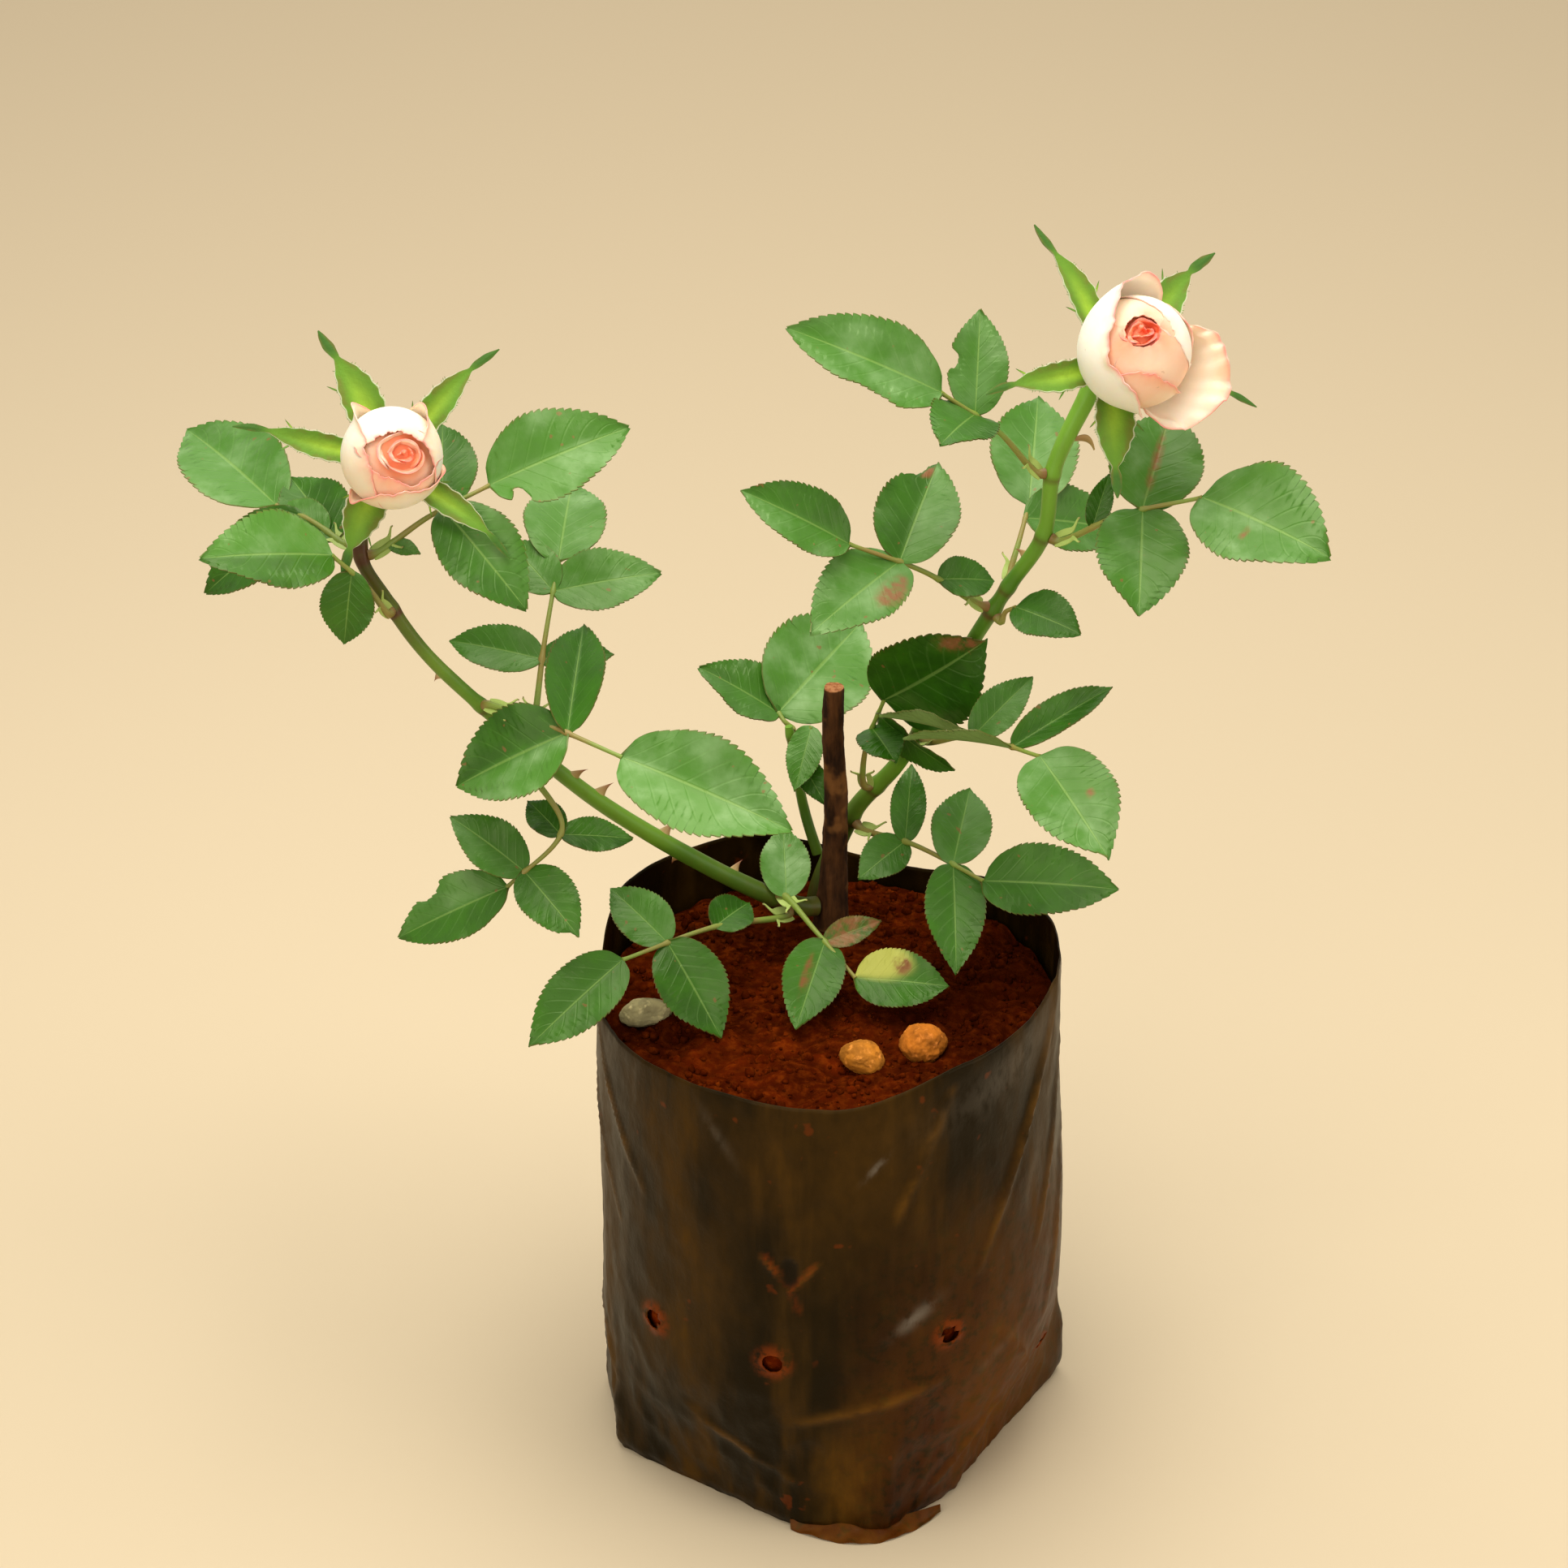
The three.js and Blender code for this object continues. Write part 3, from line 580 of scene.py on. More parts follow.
def buildFlap():
    # the tucked corner that lies out at the front of the bag's foot
    s, t = sides(*flap['steps'])
    start, end = np.array(flap['start'], float), np.array(flap['end'], float)
    out = unit([end[1] - start[1], start[0] - end[0]])
    width = flap['reach'] * np.sin(np.pi * np.clip(0.04 + s * 0.95, 0, 1)) ** 0.7
    bulge = flap['bow'] * np.sin(np.pi * s) + (t - 0.25) * width
    flat = start + (end - start) * s[..., None] + out * bulge[..., None]
    crinkle = (0.35 * np.sin(s * 23 + t * 5) + 0.2 * np.sin(s * 51 + 2)) * t
    z = flap['height'] * (1 - t) ** 1.6 + 0.7 + crinkle
    heap = newHeap()
    addBlade(heap, np.concatenate([flat, z[..., None]], -1), bag['film'], slots=(0, 0),
             crease=0.45 + 0.5 * t, stain=0.35, worn=1.0, pale=0.0, notch=0.0)
    makePiece('bagFootFlap', heap, [bpy.data.materials['dustyFilm']], ['nursery_bag'], 60)


# the red soil, its crumbs and stones
soil = {'level': 160.2, 'frontRise': 0.8, 'lump': 1.3, 'footClear': 34, 'foot': (1.2, 41.5), 'highest': 3.2,
        'rings': 120, 'columns': 330, 'sideRings': 64, 'plug': 1.5, 'crumbs': 1500, 'reach': 70.6,
        'inset': 1.9, 'sideLevels': (157, 1.6)}
stones = [
    {'name': 'orangeStone', 'node': 'stone_orange', 'slot': 'pebble', 'at': (28.5, -33.5), 'turn': 20,
     'half': (7.5, 6.8, 6.6), 'tone': (0.56, 0.165, 0.010)},
    {'name': 'ochreStone', 'node': 'stone_ochre', 'slot': 'pebble', 'at': (10, -41), 'turn': -30,
     'half': (6.9, 5.9, 5.2), 'tone': (0.58, 0.20, 0.014)},
    {'name': 'paleStone', 'node': 'stone_pale', 'slot': 'pale_pebble', 'at': (-57, -15), 'turn': 12,
     'half': (8.5, 4.8, 4.4), 'tone': (0.50, 0.42, 0.20)},
]


def soilMaterial():
    material, tree = newMaterial('redSoil', Roughness=1.0, Specular_IOR_Level=0.0)
    broad, fine = grain(tree, 45, 5), grain(tree, 420, 6)
    tone = mixTones(between(broad, 0.3, 0.7), (0.042, 0.0042, 0.0005), (0.125, 0.0135, 0.0011))
    tone = layered(tone, (between(fine, 0.4, 0.72), 0.5, (0.27, 0.046, 0.003)),
                   (patches(tree, 17, 2, 0.42, 0.62), 0.55, (0.026, 0.0032, 0.0005)),
                   (carried(tree, 'shade'), 0.8, (0.022, 0.003, 0.0005)))
    return dressed(material, tone, plus(broad, times(fine, 0.6)), 0.7, 0.002)


def stoneMaterial(name, tone):
    material, tree = newMaterial(name, Roughness=0.8, Specular_IOR_Level=0.2)
    pale = [min(1.0, value * 1.5 + 0.03) for value in tone]
    mixed = mixTones(patches(tree, 180, 5, 0.35, 0.65), [value * 0.6 for value in tone], tone)
    mixed = mixTones(patches(tree, 420, 4, 0.55, 0.75), mixed, pale)
    return dressed(material, mixed, grain(tree, 380, 6), 0.6, 0.001)


def footGap(x, y):
    return np.hypot(x - soil['foot'][0], y - soil['foot'][1])


def soilHeight(x, y):
    rough = smoothStep(footGap(x, y), soil['footClear'], soil['footClear'] * 2)
    lumps = np.sin(x * 0.17 + 1) * np.cos(y * 0.21) + 0.6 * np.sin(x * 0.31 - y * 0.23)
    return soil['level'] + rough * (soil['lump'] * lumps - soil['frontRise'] * y / bag['mouthRadius'])


def buildSoil():
    turns = np.linspace(-np.pi, np.pi, soil['columns'] + 1)[None]
    share = np.linspace(0, 1, soil['rings'])[:, None] ** 0.85
    wall = bagRadius(turns, 150 + 0 * turns) - soil['inset']
    x, y = share * wall * np.cos(turns), share * wall * np.sin(turns)
    clods, lumps, bits, dust = [noiseOver(x / wide, y / wide, 0) for wide in (9, 9 / 2.7, 9 / 6.1, 9 / 13)]
    clods = 1.6 * abs(clods) + 0.7 * lumps + 0.4 * abs(bits) + 0.22 * dust
    quiet = 0.35 + 0.65 * smoothStep(footGap(x, y), 8, 26)
    z = soilHeight(x, y) + (clods - 0.75) * 0.8 * quiet - 0.8 * smoothStep(share, 0.965, 1)
    z = np.minimum(z, soil['level'] + soil['highest'])
    for stone in stones:
        # the soil dips under each stone
        gap = np.hypot(x - stone['at'][0], y - stone['at'][1])
        z -= 1.5 * (1 - smoothStep(gap, stone['half'][1] * 0.6, stone['half'][0] * 1.1))
    # painted shade: the top of the soil is darker where the clods dip, in the hollows between them
    shade = np.clip(0.55 - (clods - 0.4) * 0.55, 0, 1)
    # sides and underside a little inside the film, swelling into the drain holes
    levels = np.linspace(*soil['sideLevels'], soil['sideRings'])[:, None] + 0 * turns
    side = bagRadius(turns + 0 * levels, levels) - soil['inset']
    for degrees, height in bag['holes']:
        gap = np.hypot(turnFrom(turns, degrees) * side, levels - height)
        side += soil['plug'] * np.exp(-((gap / bag['holeRadius']) ** 4))
    rows = np.stack([side * np.cos(turns), side * np.sin(turns), levels], -1)
    grid = np.concatenate([np.stack([x, y, z], -1), rows, rows[-1:] * np.array([0, 0, 1])])
    shade = np.concatenate([shade, np.full((len(rows) + 1, shade.shape[1]), 0.15)])
    piece = newGrid('redSoil', grid[:, ::-1], soilMaterial(), shade=shade[:, ::-1])
    finishPiece(piece, ['soil'], 60)
    print('soil made')
    buildCrumbs(share[:, 0], z)
    for stone in stones:
        buildStone(stone)


def buildCrumbs(share, z):
    # small lumps scattered over the top of the soil
    heap = newHeap()
    lat, lon = np.linspace(0, np.pi, 6)[:, None], np.linspace(0, 2 * np.pi, 9)[None]
    ball = np.stack([np.sin(lat) * np.cos(lon), np.sin(lat) * np.sin(lon), np.cos(lat) + 0 * lon], -1)
    for number in range(soil['crumbs']):
        radius = soil['reach'] * math.sqrt(rng.random()) * 0.97
        turn = rng.random() * 2 * math.pi
        cx, cy = radius * math.cos(turn), radius * math.sin(turn)
        size = 0.4 + 1.5 * rng.random() ** 4
        if footGap(cx, cy) < 9 + size:
            continue
        row = np.argmin(abs(share * soil['reach'] - radius))
        column = int((turn + math.pi) / (2 * math.pi) * soil['columns']) % soil['columns']
        chip = 0.28 * np.sin(ball[..., :1] * 5 + number) * np.cos(ball[..., 1:2] * 4 + number * 2)
        lump = ball * (1 + chip) * size * (0.7 + 0.6 * rng.random(3))
        lump = lump + np.array([cx, cy, z[row, column] + size * 0.15])
        addPatch(heap, lump, flip=True, shade=rng.random() * 0.75)
    makePiece('soilCrumbs', heap, [bpy.data.materials['redSoil']], ['soil'], 80)


def buildStone(stone):
    x, y = stone['at']
    half = Vector(stone['half'])
    place = Matrix.Translation((x, y, float(soilHeight(x, y)) + half.z * 0.42)) \
        @ Matrix.Rotation(math.radians(stone['turn']), 4, 'Z')
    bpy.ops.object.select_all(action='DESELECT')
    bpy.ops.mesh.primitive_ico_sphere_add(subdivisions=5, radius=1)
    piece = bpy.context.object
    piece.name = stone['name']
    for point in piece.data.vertices:
        spot = point.co.copy()
        chip = 1 + 0.16 * noise.noise(spot * 1.3 + Vector((x, y, 0))) - 0.10 * abs(noise.noise(spot * 3.1))
        chip += 0.03 * noise.noise(spot * 9)
        point.co = (place @ (spot * half * chip)) * mm
    piece.data.materials.append(stoneMaterial(stone['name'] + 'Face', stone['tone']))
    finishPiece(piece, [stone['node']], 60)


# the cut-back rootstock and the canes
stub = {'path': [(0, 0, 0), (0, 0, 3), (0.2, 0, 8), (1.0, 0.5, 24), (1.2, 0.2, 48), (0.2, -0.8, 70),
                 (0.4, -1.6, 87)],
        'radii': [6.0, 4.9, 4.2, 3.9, 3.7, 3.5, 3.4, 3.3],
        'knots': [(0.78, 0.35, 0.02), (0.4, 0.3, 0.03)], 'rings': 190, 'columns': 48}
# thorns: height, angle and length; brown: places along the cane and how brown it is there
canes = {
    'left': {
        'path': [(-3.75, 38.7, 168.8), (-8, 36.4, 169.9), (-20, 29.5, 178.8), (-38.5, 23, 193),
                 (-72, 12.5, 222.5), (-104, 4.2, 258), (-122.5, 2.1, 280), (-132.8, 4, 296),
                 (-140, 8.1, 308), (-138.5, 15, 319)],
        'radii': [3.2, 3.0, 2.8, 2.7, 2.5, 2.3, 2.1, 2.0, 2.0, 2.0, 2.2], 'node': 'left_cane', 'pale': 0.3,
        'thorns': [(187, 20, 4.5), (199, 150, 4.5), (205, 10, 5.5), (223, 5, 5.5), (231, -15, 5),
                   (272, 150, 4.5)],
        'brown': [(0.0, 0.75), (0.12, 0.35), (0.3, 0.12), (0.62, 0.15), (0.78, 0.6), (0.9, 0.95),
                  (1, 0.7)]},
    'right': {
        'path': [(-3.6, 50.8, 160.8), (-3.4, 50.9, 163.5), (-2, 51.6, 170), (2, 53, 181), (9.5, 52, 198),
                 (21.5, 46.4, 216), (34, 40.1, 242), (45, 34.2, 268), (54.5, 30.5, 287), (64.5, 27.7, 306),
                 (67, 28, 328), (76, 31, 349)],
        'radii': [3.5, 3.2, 2.9, 2.6, 2.4, 2.3, 2.3, 2.3, 2.3, 2.4, 2.7, 3.3],
        'node': 'right_cane', 'pale': 1.0, 'thorns': [(222, 165, 4), (256, 20, 4.5), (297, -30, 4)],
        'brown': [(0.0, 0.8), (0.1, 0.4), (0.3, 0.1), (0.7, 0.05), (1, 0.0)]},
    'back': {
        'path': [(-3, 56.2, 178), (-7, 60.5, 190), (-10, 61, 206), (-12.5, 61.5, 222)],
        'radii': [1.8, 1.7, 1.5, 1.2], 'node': 'back_shoot', 'pale': 0.3, 'thorns': [],
        'brown': [(0, 0.3), (1, 0.05)]},
}
blooms = {
    'left': {'centre': (-128.7, 2.8, 343.1), 'radius': 15.0, 'facing': (0.147, -0.87, 0.476), 'hip': 6.5},
    'right': {'centre': (88.5, 13.5, 371.7), 'radius': 16.6, 'facing': (0.336, -0.748, 0.575), 'hip': 7.0},
}
bract = {'height': 337, 'length': 8.5, 'width': 3.2, 'thickness': 0.3, 'steps': (15, 7)}
caneMesh = {'ringsPerMm': 1.25, 'columns': 28, 'nodeSwell': 0.34, 'leftMost': 0.5}


def barkMaterial():
    material, tree = newMaterial('roughBark', Roughness=0.85, Specular_IOR_Level=0.15)
    fibre = grain(tree, 260, 5, 0.22)
    cut = mixTones(patches(tree, 900, 3, 0.4, 0.6), (0.27, 0.09, 0.028), (0.42, 0.18, 0.07))
    tone = mixTones(between(fibre, 0.35, 0.7), (0.020, 0.007, 0.002), (0.105, 0.038, 0.010))
    tone = mixTones(times(patches(tree, 90, 3, 0.55, 0.7), 0.6), tone, (0.25, 0.10, 0.025))
    tone = mixTones(carried(tree, 'sawn'), tone, cut)
    return dressed(material, tone, fibre, 0.7, 0.0015)


def caneMaterial():
    material, tree = newMaterial('greenCane', Roughness=0.42, Specular_IOR_Level=0.3)
    fleck = grain(tree, 320, 4, 0.5)
    green = mixTones(patches(tree, 40, 2, 0.35, 0.65), (0.045, 0.15, 0.006), (0.13, 0.29, 0.018))
    green = mixTones(carried(tree, 'pale'), green, (0.20, 0.42, 0.035))
    brown = mixTones(fleck, (0.040, 0.016, 0.005), (0.14, 0.055, 0.016))
    amount = plus(carried(tree, 'brown'), times(between(fleck, 0.5, 0.75), 0.12))
    return dressed(material, mixTones(amount, green, brown), fleck, 0.25, 0.0006)


def thornMaterial():
    material, tree = newMaterial('reddishThorn', Roughness=0.4)
    return dressed(material, mixTones(carried(tree, 'pale'), (0.22, 0.035, 0.02), (0.42, 0.3, 0.1)))


def bloomEnd(bloom):
    facing = unit(bloom['facing'])
    end = np.array(bloom['centre']) - facing * (bloom['radius'] * 0.9 + bloom['hip'] + 0.6)
    return [end - 4 * facing, end]


def buildStub():
    shares, turns = np.linspace(0, 1, stub['rings']), np.linspace(0, 2 * math.pi, stub['columns'] + 1)
    broad, cracks, fine = [stemNoise(shares, turns, 1.6, 9, scale) for scale in (1.4, 2.6, 6)]
    radius = along(stub['radii'], shares)[:, None] + 0.3 * broad - 0.28 * abs(cracks) + 0.1 * fine
    for place, size, width in stub['knots']:
        radius += size * np.exp(-((shares[:, None] - place) / width) ** 2) * (1 + np.sin(turns + 1)) / 2
    radius[-2:] -= 0.15
    foot = np.array([*soil['foot'], soil['level'] + 0.3])
    grid = tubeRows(curveThrough(np.array(stub['path']) + foot), radius, turns, shares)
    sawn = np.arange(len(grid))[:, None] >= stub['rings']
    finishPiece(newGrid('cutBackStub', grid, barkMaterial(), sawn=sawn), ['rootstock_stub'], 38)


def modelThorn():
    # one prickle, a metre long until it is copied: oval foot, drawn out and hooked down the cane
    bpy.ops.object.select_all(action='DESELECT')
    bpy.ops.mesh.primitive_cone_add(vertices=12, radius1=0.42, radius2=0.01, depth=1, location=(0, 0, 0.43))
    thorn = bpy.context.object
    thorn.name = 'thornPattern'
    bpy.ops.object.transform_apply(location=True, rotation=True, scale=True)
    bpy.ops.object.mode_set(mode='EDIT')
    bpy.ops.mesh.select_all(action='SELECT')
    bpy.ops.mesh.subdivide(number_cuts=5)
    bpy.ops.transform.resize(value=(1, 0.48, 1), center_override=(0, 0, 0))
    bpy.ops.object.mode_set(mode='OBJECT')
    pale = thorn.data.attributes.new('pale', 'FLOAT', 'POINT')
    for point in thorn.data.vertices:
        up = max(point.co.z + 0.07, 0)
        slim = max(1 - up, 0) ** 0.5
        point.co = (point.co.x * slim - 0.3 * up**2.2, point.co.y * slim, point.co.z)
        pale.data[point.index].value = 1 - up
    thorn.data.materials.append(thornLook)
    return thorn


def copiedThorn(pattern, cane, height, angle, length):
    share = shareAtHeight(cane['curve'], height)
    axis = tangentAt(cane['curve'], share)
    out = spun(squareTo(axis, (0, 0, 1)), axis, angle)
    root = at(cane['curve'], share) + out * along(cane['radii'], share)
    thorn = pattern.copy()
    thorn.data = pattern.data.copy()
    bpy.context.scene.collection.objects.link(thorn)
    turned = Matrix((axis, np.cross(out, axis), out)).transposed() * (length * mm)
    thorn.data.transform(Matrix.Translation(Vector(root * mm)) @ turned.to_4x4())
    return thorn


def buildBract(cane):
    # the dried bract that still hangs on the stalk under the right bloom
    share = shareAtHeight(cane['curve'], bract['height'])
    root = at(cane['curve'], share) + np.array([along(cane['radii'], share), -0.5, 0])
    s, t = [values[..., None] for values in sides(*bract['steps'], -1)]
    width = bract['width'] * np.sin(np.pi * (0.2 + 0.75 * s)) / 2
    out, down = np.array([1.0, -0.2, 0.3]), np.array([0, 0, -1.0])
    side, cup = np.array([0.1, -0.5, 0.85]), np.array([0.2, 0.9, 0.3])
    grid = root + bract['length'] * (out * s * (1 - 0.3 * s) + down * 0.55 * s**2.5)
    grid = grid + width * (side * t + cup * 0.4 * t**2)
    piece = newGrid('driedBract', grid, thornLook, pale=0.55 + 0.3 * s[..., 0])
    return thickened(piece, bract['thickness'])


def buildCane(name, pattern):
    cane = canes[name]
    curve, length = cane['curve'], cane['curve']['length']
    shares = np.linspace(0, 1, int(length * caneMesh['ringsPerMm']))
    turns = np.linspace(0, 2 * math.pi, caneMesh['columns'] + 1)
    swell, girdle = 0 * shares, 0 * shares
    for row in leafRows:
        if row['cane'] == name:
            # a node where each leaf springs, with a brown ring under it
            gap = (shares - shareAtHeight(curve, row['height'])) * length
            swell += caneMesh['nodeSwell'] * np.exp(-(gap / 2.2) ** 2)
            girdle += 0.55 * np.exp(-(gap + 1.6) ** 2)
    broad, fine = [stemNoise(shares, turns, 1, length / 16, scale) for scale in (1.5, 5)]
    bulge = swell[:, None] + 0.07 * broad + 0.03 * fine
    if name == 'left':
        bulge = np.minimum(bulge, caneMesh['leftMost'])
    grid = tubeRows(curve, along(cane['radii'], shares)[:, None] + bulge, turns, shares)
    brown = np.clip(np.interp(shares, *zip(*cane['brown'])) + girdle, 0, 1)[:, None]
    pale = np.interp(shares, [0, 0.7, 1], [0, 0.2, cane['pale']])[:, None]
    piece = newGrid(name + 'CaneBark', grid, caneLook, brown=endsToo(brown), pale=endsToo(pale))
    extras = [copiedThorn(pattern, cane, *thorn) for thorn in cane['thorns']]
    if name == 'right':
        extras.append(buildBract(cane))
    if extras:
        chosenAlone(piece)
        for extra in extras:
            extra.select_set(True)
        bpy.ops.object.join()
    finishPiece(piece, [cane['node']], 60)


# Each leaf: cane, height on it, reach, heading and rise of its stalk, and its leaflets as share of the
# stalk, length, width, turn, lift, roll and fold. Each leaflet also has a tone number (0 dark, 1 light):
# its own green together with painted light and shade, lighter where lit and darker where turned from the
# light.
# Marks by leaflet: 'tilt', painted light on one half and painted shade on the other, and where it is
# yellow, brown or bitten, as places along (0 to 1) and across (-1 to 1).
leafRows = [
    {'name': 'left_leaf_1', 'cane': 'left', 'height': 174, 'foot': -110, 'stalk': (75, -132, 9),
     'leaflets': [(1, 39, 22, 14, -28), (0.76, 26, 18, -80, -5), (0.76, 34, 23, 88, -2),
                  (0.5, 20, 15, -165, 6)],
     'tints': (0.35, 0.5, 0.25, 0.1)},
    {'name': 'left_leaf_2', 'cane': 'left', 'height': 243, 'stalk': (43, -106, -52), 'bow': 14,
     'leaflets': [(1, 38, 22, -60, -10), (0.86, 28, 18, -120, 10), (0.86, 27, 19, 50, 20),
                  (0.55, 17, 12, -130, -20), (0.55, 24, 12, 100, -20)],
     'tints': (0.4, 0.45, 0.3, 0.1, 0.2), 0: {'bite': (0.62, 0.1, 0.28, 1)},
     2: {'bite': (0.93, 0.06, 0.7, 1)}},
    {'name': 'left_leaf_3', 'cane': 'left', 'height': 245, 'stalk': (60, 78, 44),
     'leaflets': [(1, 38, 27, 2, -22), (0.82, 34, 22, -69, 2), (0.82, 24, 17, 46, -8),
                  (0.43, 31, 17, 81, -8), (0.43, 23, 13, -71, -8)], 'tints': (0.75, 0.7, 0.6, 0.55, 0.3)},
    {'name': 'left_leaf_4', 'cane': 'left', 'height': 260, 'stalk': (51, -31, -4),
     'leaflets': [(1, 56, 34, 2, -5), (0.62, 39, 31, -138, -10), (0.62, 46, 22, 115, -5, 0, 35)],
     'tints': (0.8, 0.5, 0.3), 0: {'tilt': 0.2}, 1: {'tilt': -0.35}},
    {'name': 'left_leaf_5', 'cane': 'left', 'height': 293, 'stalk': (30, -145, 50),
     'leaflets': [(1, 41, 27, 33, -12), (0.72, 23, 17, 130, -15)], 'tints': (0.6, 0.3), 0: {'tilt': 0.35}},
    {'name': 'left_leaf_6', 'cane': 'left', 'height': 308, 'stalk': (44, 13, 26),
     'leaflets': [(1, 45, 31, -3, -5), (0.63, 39, 26, -78, -12), (0.63, 34, 22, 68, -13),
                  (0.18, 11, 6, -50, 17)],
     'tints': (0.7, 0.4, 0.3, 0.6), 0: {'bite': (0.16, 0.05, 0.55, 1)}},
    {'name': 'left_leaf_7', 'cane': 'left', 'height': 311, 'stalk': (34, 143, 6),
     'leaflets': [(1, 59, 31, -15, -5), (0.62, 42, 22, 53, -20), (0.33, 22, 15, 5, 5),
                  (0.2, 33, 22, -22, 2)],
     'tints': (0.75, 0.15, 0.6, 0.25), 0: {'tilt': -0.1}},
    {'name': 'crown_leaf', 'cane': 'left', 'height': 177, 'foot': -60, 'stalk': (48, -57, -7),
     'leaflets': [(1, 29, 21, 48, -2), (0.62, 35, 20, -46, 4), (0.62, 19, 10, 74, 6),
                  (0.08, 25, 17, 146, 24)],
     'tints': (0.25, 0.35, 0.1, 0.8), 2: {'brown': (0.5, 0, 0.7, 1.2)},
     0: {'yellow': (0.25, -0.6, 0.4, 0.65), 'brown': (0.5, -0.5, 0.12, 0.3)},
     1: {'brown': (0.45, 0.25, 0.28, 0.12)}},
    {'name': 'back_leaf_1', 'cane': 'back', 'height': 212, 'foot': -50, 'stalk': (11, 12, 58),
     'leaflets': [(1, 23, 12, -160, 36), (0.15, 18, 10, -115, 20)], 'tints': (0.6, 0.1)},
    {'name': 'back_leaf_2', 'cane': 'back', 'height': 219, 'foot': 90, 'stalk': (9, 120, 30),
     'leaflets': [(1, 50, 38, -70, -10, 10), (0.93, 30, 24, 30, 20, 20)], 'tints': (0.75, 0.4)},
    {'name': 'right_leaf_1', 'cane': 'right', 'height': 194, 'stalk': (62, -49, 3),
     'leaflets': [(1, 43, 26, 27, -4), (0.78, 31, 20, 118, 9), (0.78, 37, 20, -49, -12),
                  (0.42, 27, 12, 118, 24), (0.42, 20, 15, -92, 10)], 'tints': (0.3, 0.5, 0.3, 0.35, 0.4)},
    {'name': 'right_leaf_2', 'cane': 'right', 'height': 207, 'foot': 60, 'stalk': (38, -80, 74), 'bow': 3,
     'leaflets': [(1, 42, 38, -40, 10, 60), (0.85, 30, 20, -108, 30, 90), (0.7, 20, 16, -60, 60)],
     'tints': (0.1, 0.15, 0.1), 0: {'tilt': 0.0, 'brown': (0.9, -0.5, 0.2, 0.5)}},
    {'name': 'right_leaf_3', 'cane': 'right', 'height': 231, 'stalk': (75, -62, 19),
     'leaflets': [(1, 42, 30, -18, -31), (0.8, 38, 14, 83, -4, 0, 35), (0.8, 34, 16, -147, 32, 70),
                  (0.5, 26, 14, 74, 14), (0.5, 33, 16, -162, 29, 70)],
     'tints': (0.7, 0.25, 0.35, 0.45, 0.4), 0: {'brown': (0.5, -0.4, 0.04, 0.1)}},
    {'name': 'right_leaf_4', 'cane': 'right', 'height': 278, 'stalk': (10, -41, 24),
     'leaflets': [(1, 24, 18, -33, -17)], 'tints': (0.3,)},
    {'name': 'right_leaf_5', 'cane': 'right', 'height': 279, 'stalk': (61, -152, 33),
     'leaflets': [(1, 37, 22, -12, -8), (0.68, 40, 27, -106, 8), (0.68, 41, 26, 45, -8),
                  (0.4, 20, 15, -165, 22)],
     'tints': (0.5, 0.45, 0.7, 0.35), 0: {'tilt': -0.2}, 2: {'brown': (0.3, -0.6, 0.2, 0.35)},
     1: {'tilt': 0.2, 'bite': (0.86, 0.08, 0.4, -1), 'brown': (0.9, -0.4, 0.1, 0.4)}},
    {'name': 'right_leaf_6', 'cane': 'right', 'height': 287, 'stalk': (32, 75, 28),
     'leaflets': [(1, 44, 29, 8, 0), (0.8, 36, 25, -66, -16)], 'tints': (0.65, 0.5)},
    {'name': 'right_leaf_7', 'cane': 'right', 'height': 306, 'stalk': (53, -22, 23),
     'leaflets': [(1, 44, 38, -32, -8), (0.64, 37, 30, 77, -8), (0.64, 36, 29, -88, 8),
                  (0.3, 17, 8, 60, 14)],
     'tints': (0.65, 0.6, 0.55, 0.15), 0: {'brown': (0.45, 0.35, 0.03, 0.1)},
     1: {'brown': (0.5, 0.05, 0.42, 0.09)}},
    {'name': 'right_leaf_8', 'cane': 'right', 'height': 326, 'stalk': (49, -159, 41),
     'leaflets': [(1, 50, 28, 2, -17), (0.72, 32, 19, -66, 8), (0.72, 30, 22, 48, 24)],
     'tints': (0.65, 0.5, 0.35), 0: {'bite': (0.45, 0.16, 0.22, -1)}, 1: {'bite': (0.5, 0.09, 0.35, -1)}},
]
leaf = {'light': unit((0.05, -0.6, 0.8)), 'blade': 0.36, 'widest': 0.44, 'tipPower': 2.0, 'neck': 0.5,
        'fold': 14, 'droop': 0.12, 'stalkRadii': (1.15, 0.8, 0.6), 'sag': 0.05, 'spur': 2, 'clear': 0.65,
        'teeth': 20, 'tooth': ((0.0, 0.0), (0.34, 0.55), (0.66, 0.9), (0.93, 1.0)), 'across': 17,
        'toothDepth': 0.062, 'veins': 8, 'veinRun': 0.26, 'toothed': (0.03, 0.965), 'stalkSides': 12,
        'ringsPerMm': 0.9, 'leastRings': 24, 'stipuleFrom': 25, 'stipuleBlade': 0.3,
        'stipuleSteps': (15, 5)}
leafFaces = {
    'leafTopFace': {
        'rough': 0.35, 'gloss': 0.32, 'relief': 0.8, 'dark': (0.012, 0.060, 0.0005),
        'light': (0.090, 0.235, 0.036), 'fresh': (0.050, 0.19, 0.006), 'sheenAndBloom': (0.34, 0.50, 0.24),
        'vein': (0.14, 0.29, 0.06), 'midrib': (0.25, 0.40, 0.09)},
    'leafUnderFace': {
        'rough': 0.62, 'gloss': 0.25, 'relief': 0.6, 'dark': (0.10, 0.19, 0.04),
        'light': (0.23, 0.35, 0.11), 'fresh': (0.22, 0.36, 0.10), 'sheenAndBloom': (0.34, 0.43, 0.22),
        'vein': (0.32, 0.42, 0.16), 'midrib': (0.40, 0.48, 0.16)},
}


